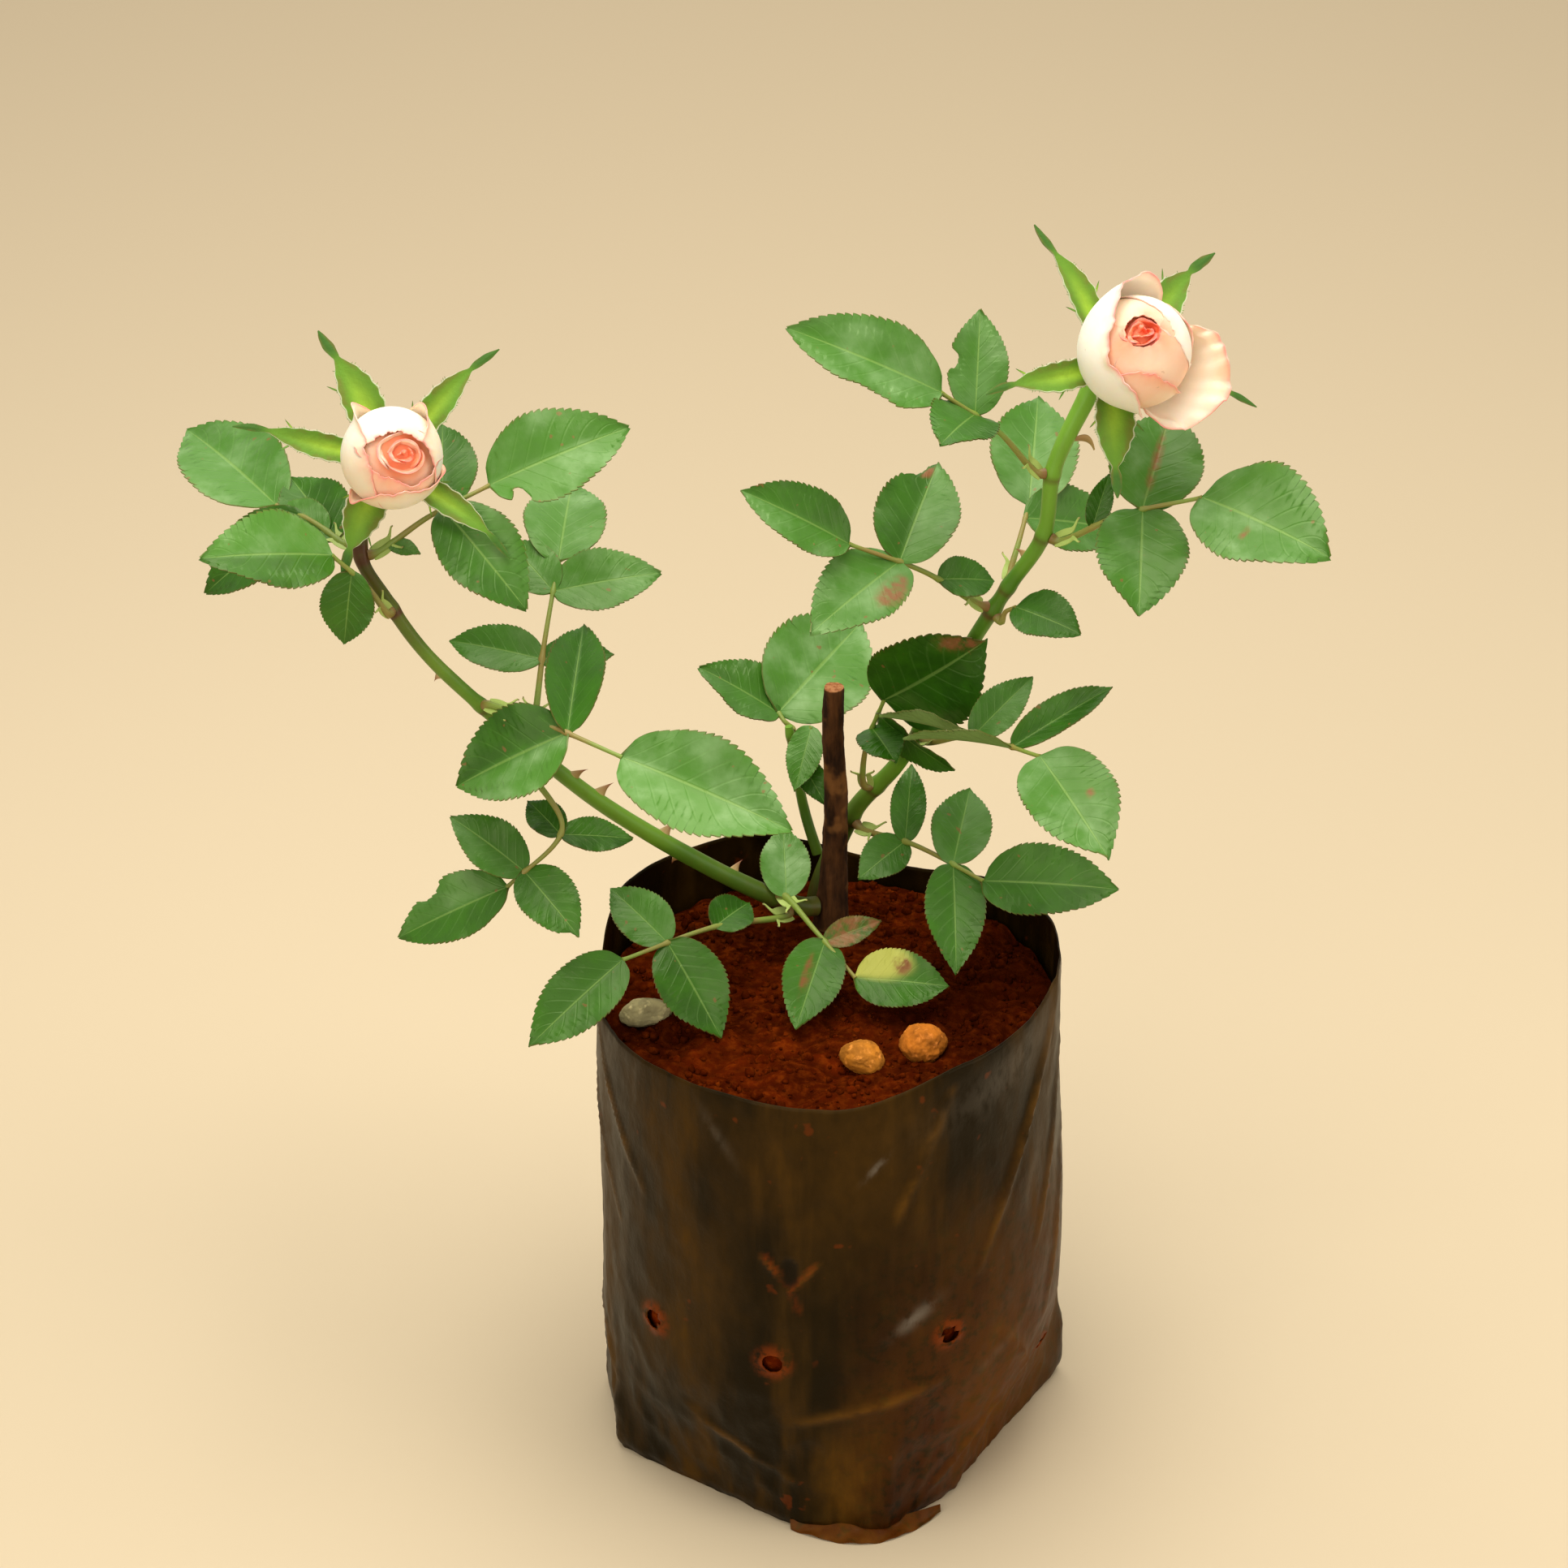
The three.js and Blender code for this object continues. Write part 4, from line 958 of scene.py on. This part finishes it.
def leafMaterial(name):
    face = leafFaces[name]
    material, tree = newMaterial(name, Roughness=face['rough'], Specular_IOR_Level=face['gloss'],
                                 Specular_Tint=(0.95, 1.0, 0.62, 1))
    u, across = planOf(tree)
    tint = carried(tree, 'tint')
    # painted sheen, with some greyish bloom: pale grey-green patches, most of them on the lighter, lit
    # leaflets
    sheenAndBloom = times(patches(tree, 75, 5, 0.40, 0.82), between(tint, 0.25, 0.95))
    # side veins run out from the midrib towards the tip
    phase = times(calc('SUBTRACT', u, times(across, leaf['veinRun'])), float(leaf['veins']))
    gap = calc('ABSOLUTE', calc('SUBTRACT', calc('FRACT', phase), 0.5))
    sideVein = times(between(gap, 0.40, 0.49), inverse(between(across, 0.5, 0.95)))
    midrib = inverse(between(across, 0.012, 0.045))
    worn = times(carried(tree, 'brown'), patches(tree, 260, 3, 0.3, 0.6))
    specks = times(patches(tree, 330, 1, 0.735, 0.775), 0.6)
    # painted light and shade: each leaflet goes from dark green where turned from the light to lighter
    # green where lit
    tone = layered(mixTones(tint, face['dark'], face['light']),
                   (patches(tree, 110, 3, 0.35, 0.7), 0.35, face['fresh']), (sheenAndBloom, 0.66, face['sheenAndBloom']),
                   (sideVein, 0.12, face['vein']), (midrib, 0.38, face['midrib']),
                   (between(across, 0.96, 1.0), 0.38, (0.17, 0.06, 0.02)),
                   (carried(tree, 'yellow'), 0.85, (0.52, 0.51, 0.10)),
                   (calc('MAXIMUM', worn, specks), 1.0, (0.22, 0.085, 0.03)))
    height = calc('SUBTRACT', times(grain(tree, 700, 3), 0.25), plus(times(sideVein, 0.5), midrib))
    return dressed(material, tone, height, 0.35 * face['relief'], 0.0006)


def stalkMaterial():
    material, tree = newMaterial('leafStalk', Roughness=0.5)
    tone = mixTones(patches(tree, 70, 2, 0.35, 0.7), (0.20, 0.28, 0.035), (0.27, 0.19, 0.04))
    tone = layered(tone, (carried(tree, 'brown'), 0.7, (0.20, 0.05, 0.02)))
    return dressed(material, tone, grain(tree, 500, 3), 0.2, 0.0004)


def stipuleMaterial():
    material, tree = newMaterial('paleStipule', Roughness=0.55)
    tone = mixTones(grain(tree, 200, 2), (0.32, 0.44, 0.08), (0.48, 0.58, 0.16))
    return dressed(material, mixTones(carried(tree, 'brown'), tone, (0.26, 0.10, 0.04)))


def leafletOutline(u):
    low = np.sqrt(np.clip(1 - ((leaf['widest'] - u) / leaf['widest']) ** 2, 0, 1))
    high = 1 - (np.clip(u - leaf['widest'], 0, 1) / (1 - leaf['widest'])) ** leaf['tipPower']
    return np.where(u < leaf['widest'], low, high)


def addLeaflet(heap, base, direction, normal, length, width, fold, tint, look, seed):
    steps, heights = np.array(leaf['tooth']).T
    inner = (np.arange(leaf['teeth'])[:, None] + steps).ravel() / leaf['teeth']
    first, share = leaf['toothed']
    u = np.concatenate([[0.0], first + share * inner, [1.0]])[:, None]
    tooth = np.concatenate([[0.4], np.tile(heights, leaf['teeth']), [1.0]])[:, None]
    v = np.linspace(1, -1, leaf['across'])[None]
    v = np.sign(v) * abs(v) ** 0.9
    serrate = smoothStep(u, 0.02, 0.2)
    half = np.maximum(leafletOutline(u) * width / 2, leaf['neck'] * (1 - smoothStep(u, 0.9, 1.0) * 0.8))
    notches = leaf['toothDepth'] * serrate * (1 - tooth) * (0.7 + 0.6 * rng.random((len(u), 1)))
    side = 1 - notches * abs(v) ** 3
    if 'bite' in look:
        place, size, depth, hand = look['bite']
        side = side * (1 - depth * np.exp(-((u - place) / size) ** 4) * (v * hand > 0) * abs(v))
    out = half * v * side
    forward = u * length + 0.014 * length * abs(v) ** 3 * serrate * (tooth - 0.3)
    # folded along the midrib, puckered between the side veins, drooping to the tip
    lift = (np.sqrt(out**2 + 0.5) - 0.7) * math.tan(math.radians(fold))
    phase = (u - leaf['veinRun'] * abs(v)) * leaf['veins']
    pucker = 0.19 * abs(np.sin(np.pi * (phase + 0.5))) * np.minimum(abs(v) * 3, 1) * (1 - abs(v) ** 5)
    pucker *= smoothStep(u, 0.02, 0.15) * (1 - smoothStep(u, 0.85, 1))
    wave = 0.03 * width * np.sin(2 * np.pi * (u * 1.7 + seed * 0.37)) * v * abs(v)
    ripple = 0.14 * np.sin(2 * np.pi * (u * 6 + seed)) * abs(v) ** 4 * np.sign(v)
    drop = leaf['droop'] * length * u**2 + 0.02 * length * math.sin(seed * 2.1) * u**3
    up = lift + pucker + wave + ripple - drop
    across = np.cross(direction, normal) * math.cos(math.radians(fold))
    grid = reached(base, (across, out), (direction, forward), (normal, up))
    # painted light and shade: the tone is lighter on one half of the leaflet and darker on the other, by
    # its 'tilt' or a small random amount
    marks = {'tint': np.clip(tint + look.get('tilt', 0.1 * np.sin(seed)) * np.tanh(v * 9), 0, 1)}
    for kind in ('yellow', 'brown'):
        marks[kind] = 0.0
        if kind in look:
            place, cross, ru, rv = look[kind]
            marks[kind] = 1 - smoothStep(np.hypot((u - place) / ru, (v - cross) / rv), 0.6, 1.15)
    keel = 0.45 * (1 - 0.7 * u) * np.exp(-(out / 0.55) ** 2)
    uv = np.stack(np.broadcast_arrays(u, (v + 1) / 2), -1)
    addBlade(heap, grid, leaf['blade'], (0, 1), uv, keel, **marks)


def addStipule(heap, start, run, side, normal, size):
    u, v = sides(*leaf['stipuleSteps'])
    width = size * 0.22 * np.sin(np.pi * np.clip(0.25 + u * 0.75, 0, 1)) ** 0.7
    out = 0.5 + v * width + size * 0.35 * smoothStep(u, 0.6, 1) ** 1.5
    up = 0.125 * size * smoothStep(u, 0.5, 1) + 0.2 * v
    grid = reached(start, (run, u * size), (side, out), (normal, up))
    brown = smoothStep(u, 0.9, 1) * 0.8
    addBlade(heap, grid, leaf['stipuleBlade'], (3, 3), tint=0.9, yellow=0.0, brown=brown)


def buildLeaf(row, number):
    cane = canes[row['cane']]
    share = shareAtHeight(cane['curve'], row['height'])
    axis, root = tangentAt(cane['curve'], share), at(cane['curve'], share)
    reach, heading, rise = row['stalk']
    x, y, z = np.eye(3)
    aim = swung(swung(x, y, heading), z, rise)
    away = spun(squareTo(axis, z), axis, row['foot']) if 'foot' in row else squareTo(axis, aim)
    start = root + away * (along(cane['radii'], share) + leaf['clear'])
    end = root + aim * reach
    chord = unit(end - start)
    normal = squareTo(chord, leaf['light'])
    left = np.cross(normal, chord)
    middle = (start + end) / 2 + left * row.get('bow', 0) + normal * leaf['sag'] * reach
    stalk = curveThrough([start - away * 0.45, start + away * leaf['spur'], middle, end])
    heap = newHeap()
    shares = np.linspace(0, 1, max(leaf['leastRings'], int(stalk['length'] * leaf['ringsPerMm'])))
    radius = along(leaf['stalkRadii'], shares) + 0.55 * np.exp(-(shares * stalk['length'] / 2.2) ** 2)
    for spec in row['leaflets']:
        radius = radius + 0.18 * np.exp(-((shares - spec[0]) * stalk['length'] / 1.2) ** 2)
    turns = np.linspace(0, 2 * math.pi, leaf['stalkSides'] + 1)
    tube = tubeRows(stalk, radius[:, None], turns, shares)
    brown = np.exp(-(shares / 0.05) ** 2)[:, None]
    addPatch(heap, tube, slot=2, tint=0.5, yellow=0.0, brown=endsToo(brown))
    for order, (place, length, width, turn, lift, *more) in enumerate(row['leaflets']):
        roll, fold = more + [0, leaf['fold']][len(more):]
        direction = swung(swung(chord, left, turn), normal, lift)
        face = spun(squareTo(direction, leaf['light']), direction, roll)
        addLeaflet(heap, at(stalk, place) - direction * 0.3, direction, face, length, width, fold,
                   row['tints'][order], row.get(order, {}), number * 1.7 + order * 2.3)
    if reach > leaf['stipuleFrom']:
        run = tangentAt(stalk, 0.1)
        side = unit(np.cross(normal, run))
        for hand in (-1, 1):
            addStipule(heap, at(stalk, 0.03), run, hand * side, normal, 7 + reach * 0.06)
    name = row['name'].replace('_leaf', 'Leaf').replace('_', '') + 'Spray'
    makePiece(name, heap, [leafTop, leafUnder, stalkLook, stipuleLook], [row['name']], 70)


# Petal rims are points round the bud: angle (0 right, 90 up), angle down from its facing, and distance out
# as a share of the bud's radius, where it isn't 1. 'layer' is the petal's own distance out.
petals = {
    'left': {
        'heart': {'turn': -11, 'tip': 12, 'from': 0.46, 'count': 6, 'start': 0.3, 'top': 0.98, 'depth': 0.2,
                  'squash': 0.84, 'tones': (0.16, 0.64), 'warmSide': -0.7},
        'outer': [
            {'rim': [(108, 108), (115, 98, 1.12), (123, 84, 1.27), (128, 68, 1.16), (136, 50, 1.05),
                     (148, 38, 1.01), (170, 33), (196, 31), (222, 36), (246, 62), (262, 100)],
             'layer': 1.0, 'blush': 0.14, 'roll': 0.03},
            {'rim': [(-8, 80), (2, 48), (30, 32), (72, 26), (120, 25), (158, 36), (178, 80)],
             'layer': 0.965, 'blush': 0.0, 'roll': 0.0},
            {'rim': [(-40, 92), (-34, 66), (-9, 47), (13, 37), (38, 54, 1.06), (55, 76, 1.2),
                     (64, 100, 1.04)],
             'layer': 0.99, 'blush': 0.1, 'roll': 0.03},
            {'rim': [(150, 88), (168, 48), (194, 34), (222, 32), (268, 31), (291, 44), (320, 53), (345, 60),
                     (358, 92)], 'layer': 0.98, 'blush': 0.28, 'roll': 0.02},
            {'rim': [(214, 108, 1.02), (224, 92, 1.14), (233, 64, 1.05), (257, 48, 1.02), (282, 46, 1.02),
                     (318, 64, 1.02), (337, 86), (348, 108)], 'layer': 1.03, 'blush': 0.2, 'roll': 0.04}]},
    'right': {
        'heart': {'turn': 141, 'tip': 19, 'from': 0.29, 'count': 5, 'start': 2.2, 'top': 0.99,
                  'depth': 0.16, 'squash': 0.8, 'tones': (0.86, 0.62), 'warmSide': 0.0},
        'outer': [
            {'rim': [(34, 114), (44, 100, 1.14), (54, 86, 1.24), (68, 74, 1.28), (82, 66, 1.28),
                     (96, 60, 1.27), (109, 54, 1.23), (122, 50, 1.16), (138, 47, 1.07), (148, 46, 1.02),
                     (160, 48), (184, 53), (208, 54), (228, 55), (246, 66, 1.02), (260, 90, 1.08),
                     (270, 110)],
             'layer': 1.03, 'blush': -0.1, 'roll': 0.06},
            {'rim': [(102, 90), (92, 62), (78, 42), (54, 28), (18, 21), (-10, 22), (-27, 32), (-34, 50),
                     (-26, 76, 1.02), (-14, 104)], 'layer': 0.978, 'blush': -0.1, 'roll': 0.0, 'edge': 0.4},
            {'rim': [(196, 95), (208, 60), (224, 43), (244, 37), (264, 40), (282, 51, 1.02),
                     (296, 68, 1.03), (306, 90, 1.02), (312, 114)],
             'layer': 1.0, 'blush': 0.3, 'roll': 0.03},
            {'rim': [(22, 106), (9, 80, 1.1), (-3, 68, 1.34), (-17, 66, 1.52), (-33, 71, 1.62),
                     (-50, 78, 1.66), (-64, 84, 1.60), (-75, 94, 1.38), (-86, 110)],
             'layer': 1.01, 'blush': 0.02, 'roll': 0.10, 'frill': 4.0, 'power': 1.7},
            {'rim': [(136, 92), (143, 40), (156, 23), (182, 20), (222, 19), (262, 18), (312, 19), (350, 20),
                     (374, 23), (387, 40), (394, 92)],
             'layer': 0.965, 'blush': 0.38, 'roll': 0.02, 'edge': 0.35, 'frill': 0.35, 'inner': True},
            {'rim': [(222, 84), (212, 36), (194, 20), (160, 18), (110, 17), (66, 17), (20, 18), (-8, 20),
                     (-26, 36), (-36, 84)],
             'layer': 0.95, 'blush': 0.30, 'roll': 0.02, 'edge': 0.35, 'frill': 0.35, 'inner': True},
            {'rim': [(-30, 110), (-10, 80), (15, 66), (38, 78), (58, 110)], 'layer': 1.0, 'blush': 0.0,
             'roll': 0.03}]},
}
petalMesh = {'blade': 0.32, 'steps': (31, 57), 'foot': 152, 'heartBlade': 0.28, 'heartSteps': (17, 49),
             'coreSteps': (41, 49), 'core': 0.90}
# each sepal: angle round the bud, length and width
sepals = {
    'left': [(112, 43, 12), (43, 46, 9), (165, 47, 8), (240, 37, 12), (318, 46, 8)],
    'right': [(107, 47, 9), (36, 48, 12), (184, 44, 9), (252, 41, 13), (335, 46, 7)],
    'tissue': 0.5, 'fringe': 30, 'lobes': (3, 8),
    'hipProfile': [(0.0, -1), (0.62, -1), (0.86, -0.78), (1.02, -0.42), (0.95, -0.12), (0.8, 0), (0, 0)],
    'hipWidth': 0.33, 'ribs': 5, 'hipSteps': 41, 'steps': (61, 13), 'hairSteps': (6, 3), 'hair': 0.16,
    'lobeLength': 3.6,
}


def petalMaterial():
    material, tree = newMaterial('silkPetal', Roughness=0.5, Subsurface_Weight=0.45,
                                 Subsurface_Radius=(0.006, 0.0035, 0.002), Specular_IOR_Level=0.35)
    ramp = tree.nodes.new('ShaderNodeValToRGB')
    stops = ramp.color_ramp.elements
    stops[0].color, stops[1].color = (0.96, 0.87, 0.74, 1), (0.80, 0.13, 0.05, 1)
    stops.new(0.2).color = (0.96, 0.78, 0.58, 1)
    stops.new(0.42).color = (0.97, 0.60, 0.42, 1)
    stops.new(0.7).color = (0.95, 0.36, 0.18, 1)
    veins = times(calc('SUBTRACT', grain(tree, 240, 4), 0.5), 0.14)
    tree.links.new(plus(carried(tree, 'blush'), veins), ramp.inputs[0])
    tone = layered(ramp.outputs[0], (carried(tree, 'rim'), 0.85, (0.90, 0.26, 0.23)),
                   (carried(tree, 'lime'), 1.0, (0.72, 0.78, 0.36)),
                   (patches(tree, 500, 2, 0.72, 0.78), 0.35, (0.55, 0.30, 0.14)))
    return dressed(material, tone, grain(tree, 500, 4), 0.12, 0.0005)


def sepalMaterial(name, base, pale):
    material, tree = newMaterial(name, Roughness=0.62, Sheen_Weight=0.12, Specular_IOR_Level=0.3)
    u, across = planOf(tree)
    ridge = times(inverse(between(across, 0.0, 0.8)), inverse(between(u, 0.15, 0.75)))
    russet = times(between(across, 0.35, 0.9), patches(tree, 220, 4, 0.40, 0.62))
    woolly = times(between(across, 0.92, 0.99), carried(tree, 'wool'))
    tone = layered(mixTones(ridge, base, pale), (grain(tree, 300, 4), 0.5, [value * 0.6 for value in base]),
                   (between(u, 0.72, 0.85), 0.8, (0.025, 0.10, 0.006)), (russet, 0.55, (0.17, 0.12, 0.02)),
                   (woolly, 0.8, (0.70, 0.70, 0.50)))
    return dressed(material, tone, grain(tree, 800, 3), 0.35, 0.0005)


def hipMaterial():
    material, tree = newMaterial('greenHip', Roughness=0.45)
    return dressed(material, mixTones(grain(tree, 160, 3), (0.13, 0.28, 0.03), (0.27, 0.46, 0.07)))


def bloomFrame(bloom):
    facing = unit(bloom['facing'])
    up = squareTo(facing, (0, 0, 1))
    return facing, up, np.cross(up, facing)


def heartFrame(bloom, heart):
    # the middle of the bloom looks a little away from the bud's own facing
    facing, up, right = bloomFrame(bloom)
    axis = unit(swung(facing, swung(right, up, heart['turn']), heart['tip']))
    top = squareTo(axis, up)
    return axis, top, np.cross(top, axis)


def sphereSpots(bloom, frame3, turn, tip, reach):
    # places round the bud from their two angles (degrees) and distance out
    facing, up, right = frame3
    turn, tip, reach = np.stack(np.broadcast_arrays(np.radians(turn), np.radians(tip), reach))[..., None]
    aim = np.sin(tip) * (np.cos(turn) * right + np.sin(turn) * up) + np.cos(tip) * facing
    return np.array(bloom['centre']) + bloom['radius'] * reach * aim


def addOuterPetal(heap, bloom, petal, heart, seed):
    rim = curveThrough([(*spot, 1.0)[:3] for spot in petal['rim']])
    s, t = sides(*petalMesh['steps'], 1, 0)
    turns, tips, outs = at(rim, t[0]).T[:, None]
    middle = turns.mean()
    frill = 1.2 * np.sin(turns * 0.21 + seed) + 0.8 * np.sin(turns * 0.53 + seed * 2)
    turn = middle + (turns - middle) * (0.5 + 0.5 * smoothStep(s, 0, 0.45))
    tip = petalMesh['foot'] + (tips - petalMesh['foot']) * s + petal.get('frill', 1) * frill * s**4
    lip = petal['roll'] * smoothStep(s, 0.86, 1.0) ** 2 * (1 + 0.6 * np.sin(turns * 0.16 + seed * 3))
    reach = petal['layer'] + (outs - 1) * s ** petal.get('power', 2.2) + lip
    if 'power' not in petal:
        reach = reach - 0.007 * np.sin(np.pi * s)
    frame3 = heartFrame(bloom, heart) if 'inner' in petal else bloomFrame(bloom)
    grid = sphereSpots(bloom, frame3, turn, tip, reach)
    sideMark = 0.7 * smoothStep(abs(np.linspace(-1, 1, t.size)), 0.97, 1.0) * (s > 0.3)
    rimMark = petal.get('edge', 1.0) * np.maximum(smoothStep(s, 0.955, 0.995), sideMark)
    rimMark = rimMark * (0.55 + 0.45 * np.sin(turns * 0.09 + seed) ** 2)
    blush = petal['blush'] + 0.16 * smoothStep(s, 0.8, 1.0) + 0.10 * np.sin(turns * 0.05 + seed)
    addBlade(heap, grid, petalMesh['blade'], (0, 0), blush=np.clip(blush, 0, 1), rim=rimMark,
             lime=0.75 * (1 - smoothStep(s, 0.05, 0.42)))


def addHeart(heap, bloom, heart):
    # the rolled middle: petal inside petal, each turned on from the last
    axis, other, side = heartFrame(bloom, heart)
    s, t = sides(*petalMesh['heartSteps'])
    for order in range(heart['count']):
        inward = order / (heart['count'] - 1)
        radius = heart['from'] * (1 - inward) ** 0.85 + 0.05
        turn = heart['start'] + order * 2.4 + math.radians(240 - 30 * inward) * t
        uneven = 0.05 * np.sin(turn * 3 + order) + 0.06 * np.sin(turn * 2 + order * 3.1)
        coil = radius * (1.04 - 0.24 * t + uneven)
        rise = (heart['top'] - 0.05 * inward) * math.sqrt(1 - radius**2) - 0.03 * (2 * t - 1) ** 2
        rise = rise + 0.02 * np.sin(turn * 4 + order * 1.9) + 0.012 * np.sin(turn * 9 + order)
        lip = smoothStep(s, 0.72, 1)
        ring = coil * (0.80 + 0.20 * smoothStep(s, 0, 0.7))
        ring = ring + lip**2 * (0.045 + 0.03 * np.sin(turn * 2.5 + order))
        high = rise - heart['depth'] * (1 - s) - 0.02 * lip**3
        high = high - 0.13 * (1 - smoothStep(np.minimum(t, 1 - t), 0, 0.2)) * s
        across = ring * np.cos(turn) + 0.03 * math.sin(order * 2.3)
        down = (ring * np.sin(turn) + 0.03 * math.cos(order * 1.7)) * heart['squash']
        spots = reached(0, (side, across), (other, down), (axis, high))
        grid = np.array(bloom['centre']) + bloom['radius'] * spots
        tone = heart['tones'][0] * (1 - inward) + heart['tones'][1] * inward + 0.05 * np.sin(order * 2.3)
        blush = tone + 0.14 * (1 - s) + 0.34 * np.clip(np.cos(turn - heart['warmSide']), 0, 1)
        rimMark = smoothStep(s, 0.80, 0.97) * (0.5 + 0.5 * np.sin(turn * 1.5 + order) ** 2)
        addBlade(heap, grid, petalMesh['heartBlade'], (0, 0), blush=np.clip(blush, 0, 1), rim=rimMark,
                 lime=0.0)


def buildBloom(name):
    bloom, heart = blooms[name], petals[name]['heart']
    heap = newHeap()
    # the closed body of the bud just under its petals, which keeps the folds shallow
    rings, columns = petalMesh['coreSteps']
    tip, turn = np.linspace(180, 0, rings)[:, None], np.linspace(0, 360, columns)[None]
    top = smoothStep(180 - tip, 120, 165)
    core = sphereSpots(bloom, heartFrame(bloom, heart), turn, tip, petalMesh['core'] - 0.10 * top)
    addPatch(heap, core, blush=0.22 + heart['tones'][1] * top, rim=0.0, lime=0.0)
    for number, petal in enumerate(petals[name]['outer']):
        addOuterPetal(heap, bloom, petal, heart, number * 1.3 + len(name))
    addHeart(heap, bloom, heart)
    makePiece(name + 'PetalWhorl', heap, [petalLook], [name + '_petals'], 80)


def addSepal(heap, bloom, seat, angle, length, width, number):
    facing, up, right = bloomFrame(bloom)
    out = swung(right, up, angle)
    side = np.cross(out, facing)
    u, v = sides(*sepals['steps'], 1, -1)
    narrowing = np.cos(np.pi / 2 * np.clip((u - 0.4) / 0.38, 0, 1)) ** 0.8
    spread = np.where(u < 0.4, 0.72 + 0.28 * np.sin(np.pi / 0.8 * u), narrowing)
    leafy = 0.27 * np.sin(np.pi * np.clip((u - 0.72) / 0.28, 0, 1)) ** 0.8
    half = width / 2 * np.maximum(np.maximum(spread, leafy), 0.05 * (1 - u) + 0.03)
    across = half * v * (1 + 0.05 * np.sin(u * 60 + number * 3) * abs(v) ** 4)
    rise = 0.1 * length * np.sin(math.pi * 0.6 * u) - 0.06 * bloom['radius'] - 0.6
    twist = 0.05 * length * np.sin(u * 5 + number * 2.1) * u**2
    inner = bloom['radius'] * sepals['hipWidth'] / 2
    far = inner + u * (length - inner)
    cup = 0.33 * abs(across) ** 1.15 * (1 - 0.6 * u) - 0.35 * abs(across) * smoothStep(u, 0.5, 1)
    grid = reached(seat, (out, far), (side, across + twist), (facing, rise + cup))
    addBlade(heap, grid, sepals['tissue'], (0, 1), wool=1 - smoothStep(u, 0.68, 0.86),
             keel=0.4 * np.exp(-(across / 0.8) ** 2) * (1 - u))
    # hair-fine fringe and a lobe or two on the edges
    for k in range(sepals['fringe']):
        row = int((0.12 + 0.6 * rng.random()) * (len(grid) - 1))
        hand = 1 if k % 2 else -1
        lobe = k in sepals['lobes']
        size = sepals['lobeLength'] if lobe else 0.5 + 0.6 * rng.random()
        aim = unit(side * hand * 0.8 + out * (0.9 if lobe else 0.5) + facing * (rng.random() - 0.3) * 0.5)
        w, z = sides(*sepals['hairSteps'], -1)
        thick = (0.5 if lobe else 0.12) * np.sin(np.pi * np.clip(0.3 + w * 0.7, 0, 1)) + 0.03
        root = grid[row, 0 if hand > 0 else -1]
        hair = reached(root, (aim, w * size - 0.3), (out, thick * z * 0.8), (facing, 0.15 * w))
        addBlade(heap, hair, sepals['hair'], (0, 1), wool=0.0 if lobe else 0.8)


def buildCalyx(name):
    bloom = blooms[name]
    facing, up, right = bloomFrame(bloom)
    seat = np.array(bloom['centre']) - facing * (bloom['radius'] * 0.9 + 0.3)
    shares = np.linspace(0, 1, sepals['hipSteps'])
    reach, high = at(curveThrough(sepals['hipProfile']), shares).T[:, :, None, None]
    turns = np.linspace(0, 2 * math.pi, sepals['hipSteps'])[:, None]
    ring = reach * bloom['radius'] * sepals['hipWidth'] * (1 + 0.025 * np.cos(turns * sepals['ribs']))
    heap = newHeap()
    round3 = np.cos(turns) * right + np.sin(turns) * up
    addPatch(heap, seat + ring * round3 + high * bloom['hip'] * facing, slot=2, wool=0.0)
    for number, sepal in enumerate(sepals[name]):
        addSepal(heap, bloom, seat, *sepal, number)
    makePiece(name + 'CalyxSepals', heap, [sepalInner, sepalOuter, hipLook], [name + '_calyx'], 70)


# everything is made in turn
setUpView()
for name, cane in canes.items():
    cane['curve'] = curveThrough(cane['path'] + (bloomEnd(blooms[name]) if name in blooms else []))

bpy.ops.object.select_all(action='DESELECT')
bpy.ops.mesh.primitive_plane_add(size=studio['floorSize'])
floor = bpy.context.object
floor.name = 'paleFloor'
floor.data.materials.append(newMaterial('paleFloor', Roughness=0.9, Base_Color=(*studio['floor'], 1))[0])

buildBag()
buildFlap()
print('bag made')
buildSoil()
buildStub()
caneLook, thornLook = caneMaterial(), thornMaterial()
thornPattern = modelThorn()
for name in canes:
    buildCane(name, thornPattern)
bpy.data.objects.remove(thornPattern)
print('canes made')
leafTop, leafUnder = leafMaterial('leafTopFace'), leafMaterial('leafUnderFace')
stalkLook, stipuleLook = stalkMaterial(), stipuleMaterial()
for number, row in enumerate(leafRows):
    buildLeaf(row, number)
print('leaves made')
petalLook = petalMaterial()
sepalInner = sepalMaterial('sepalInnerFace', (0.125, 0.28, 0.014), (0.46, 0.70, 0.05))
sepalOuter = sepalMaterial('sepalOuterFace', (0.10, 0.23, 0.02), (0.18, 0.33, 0.04))
hipLook = hipMaterial()
for name in blooms:
    buildBloom(name)
    buildCalyx(name)
print('blooms made')
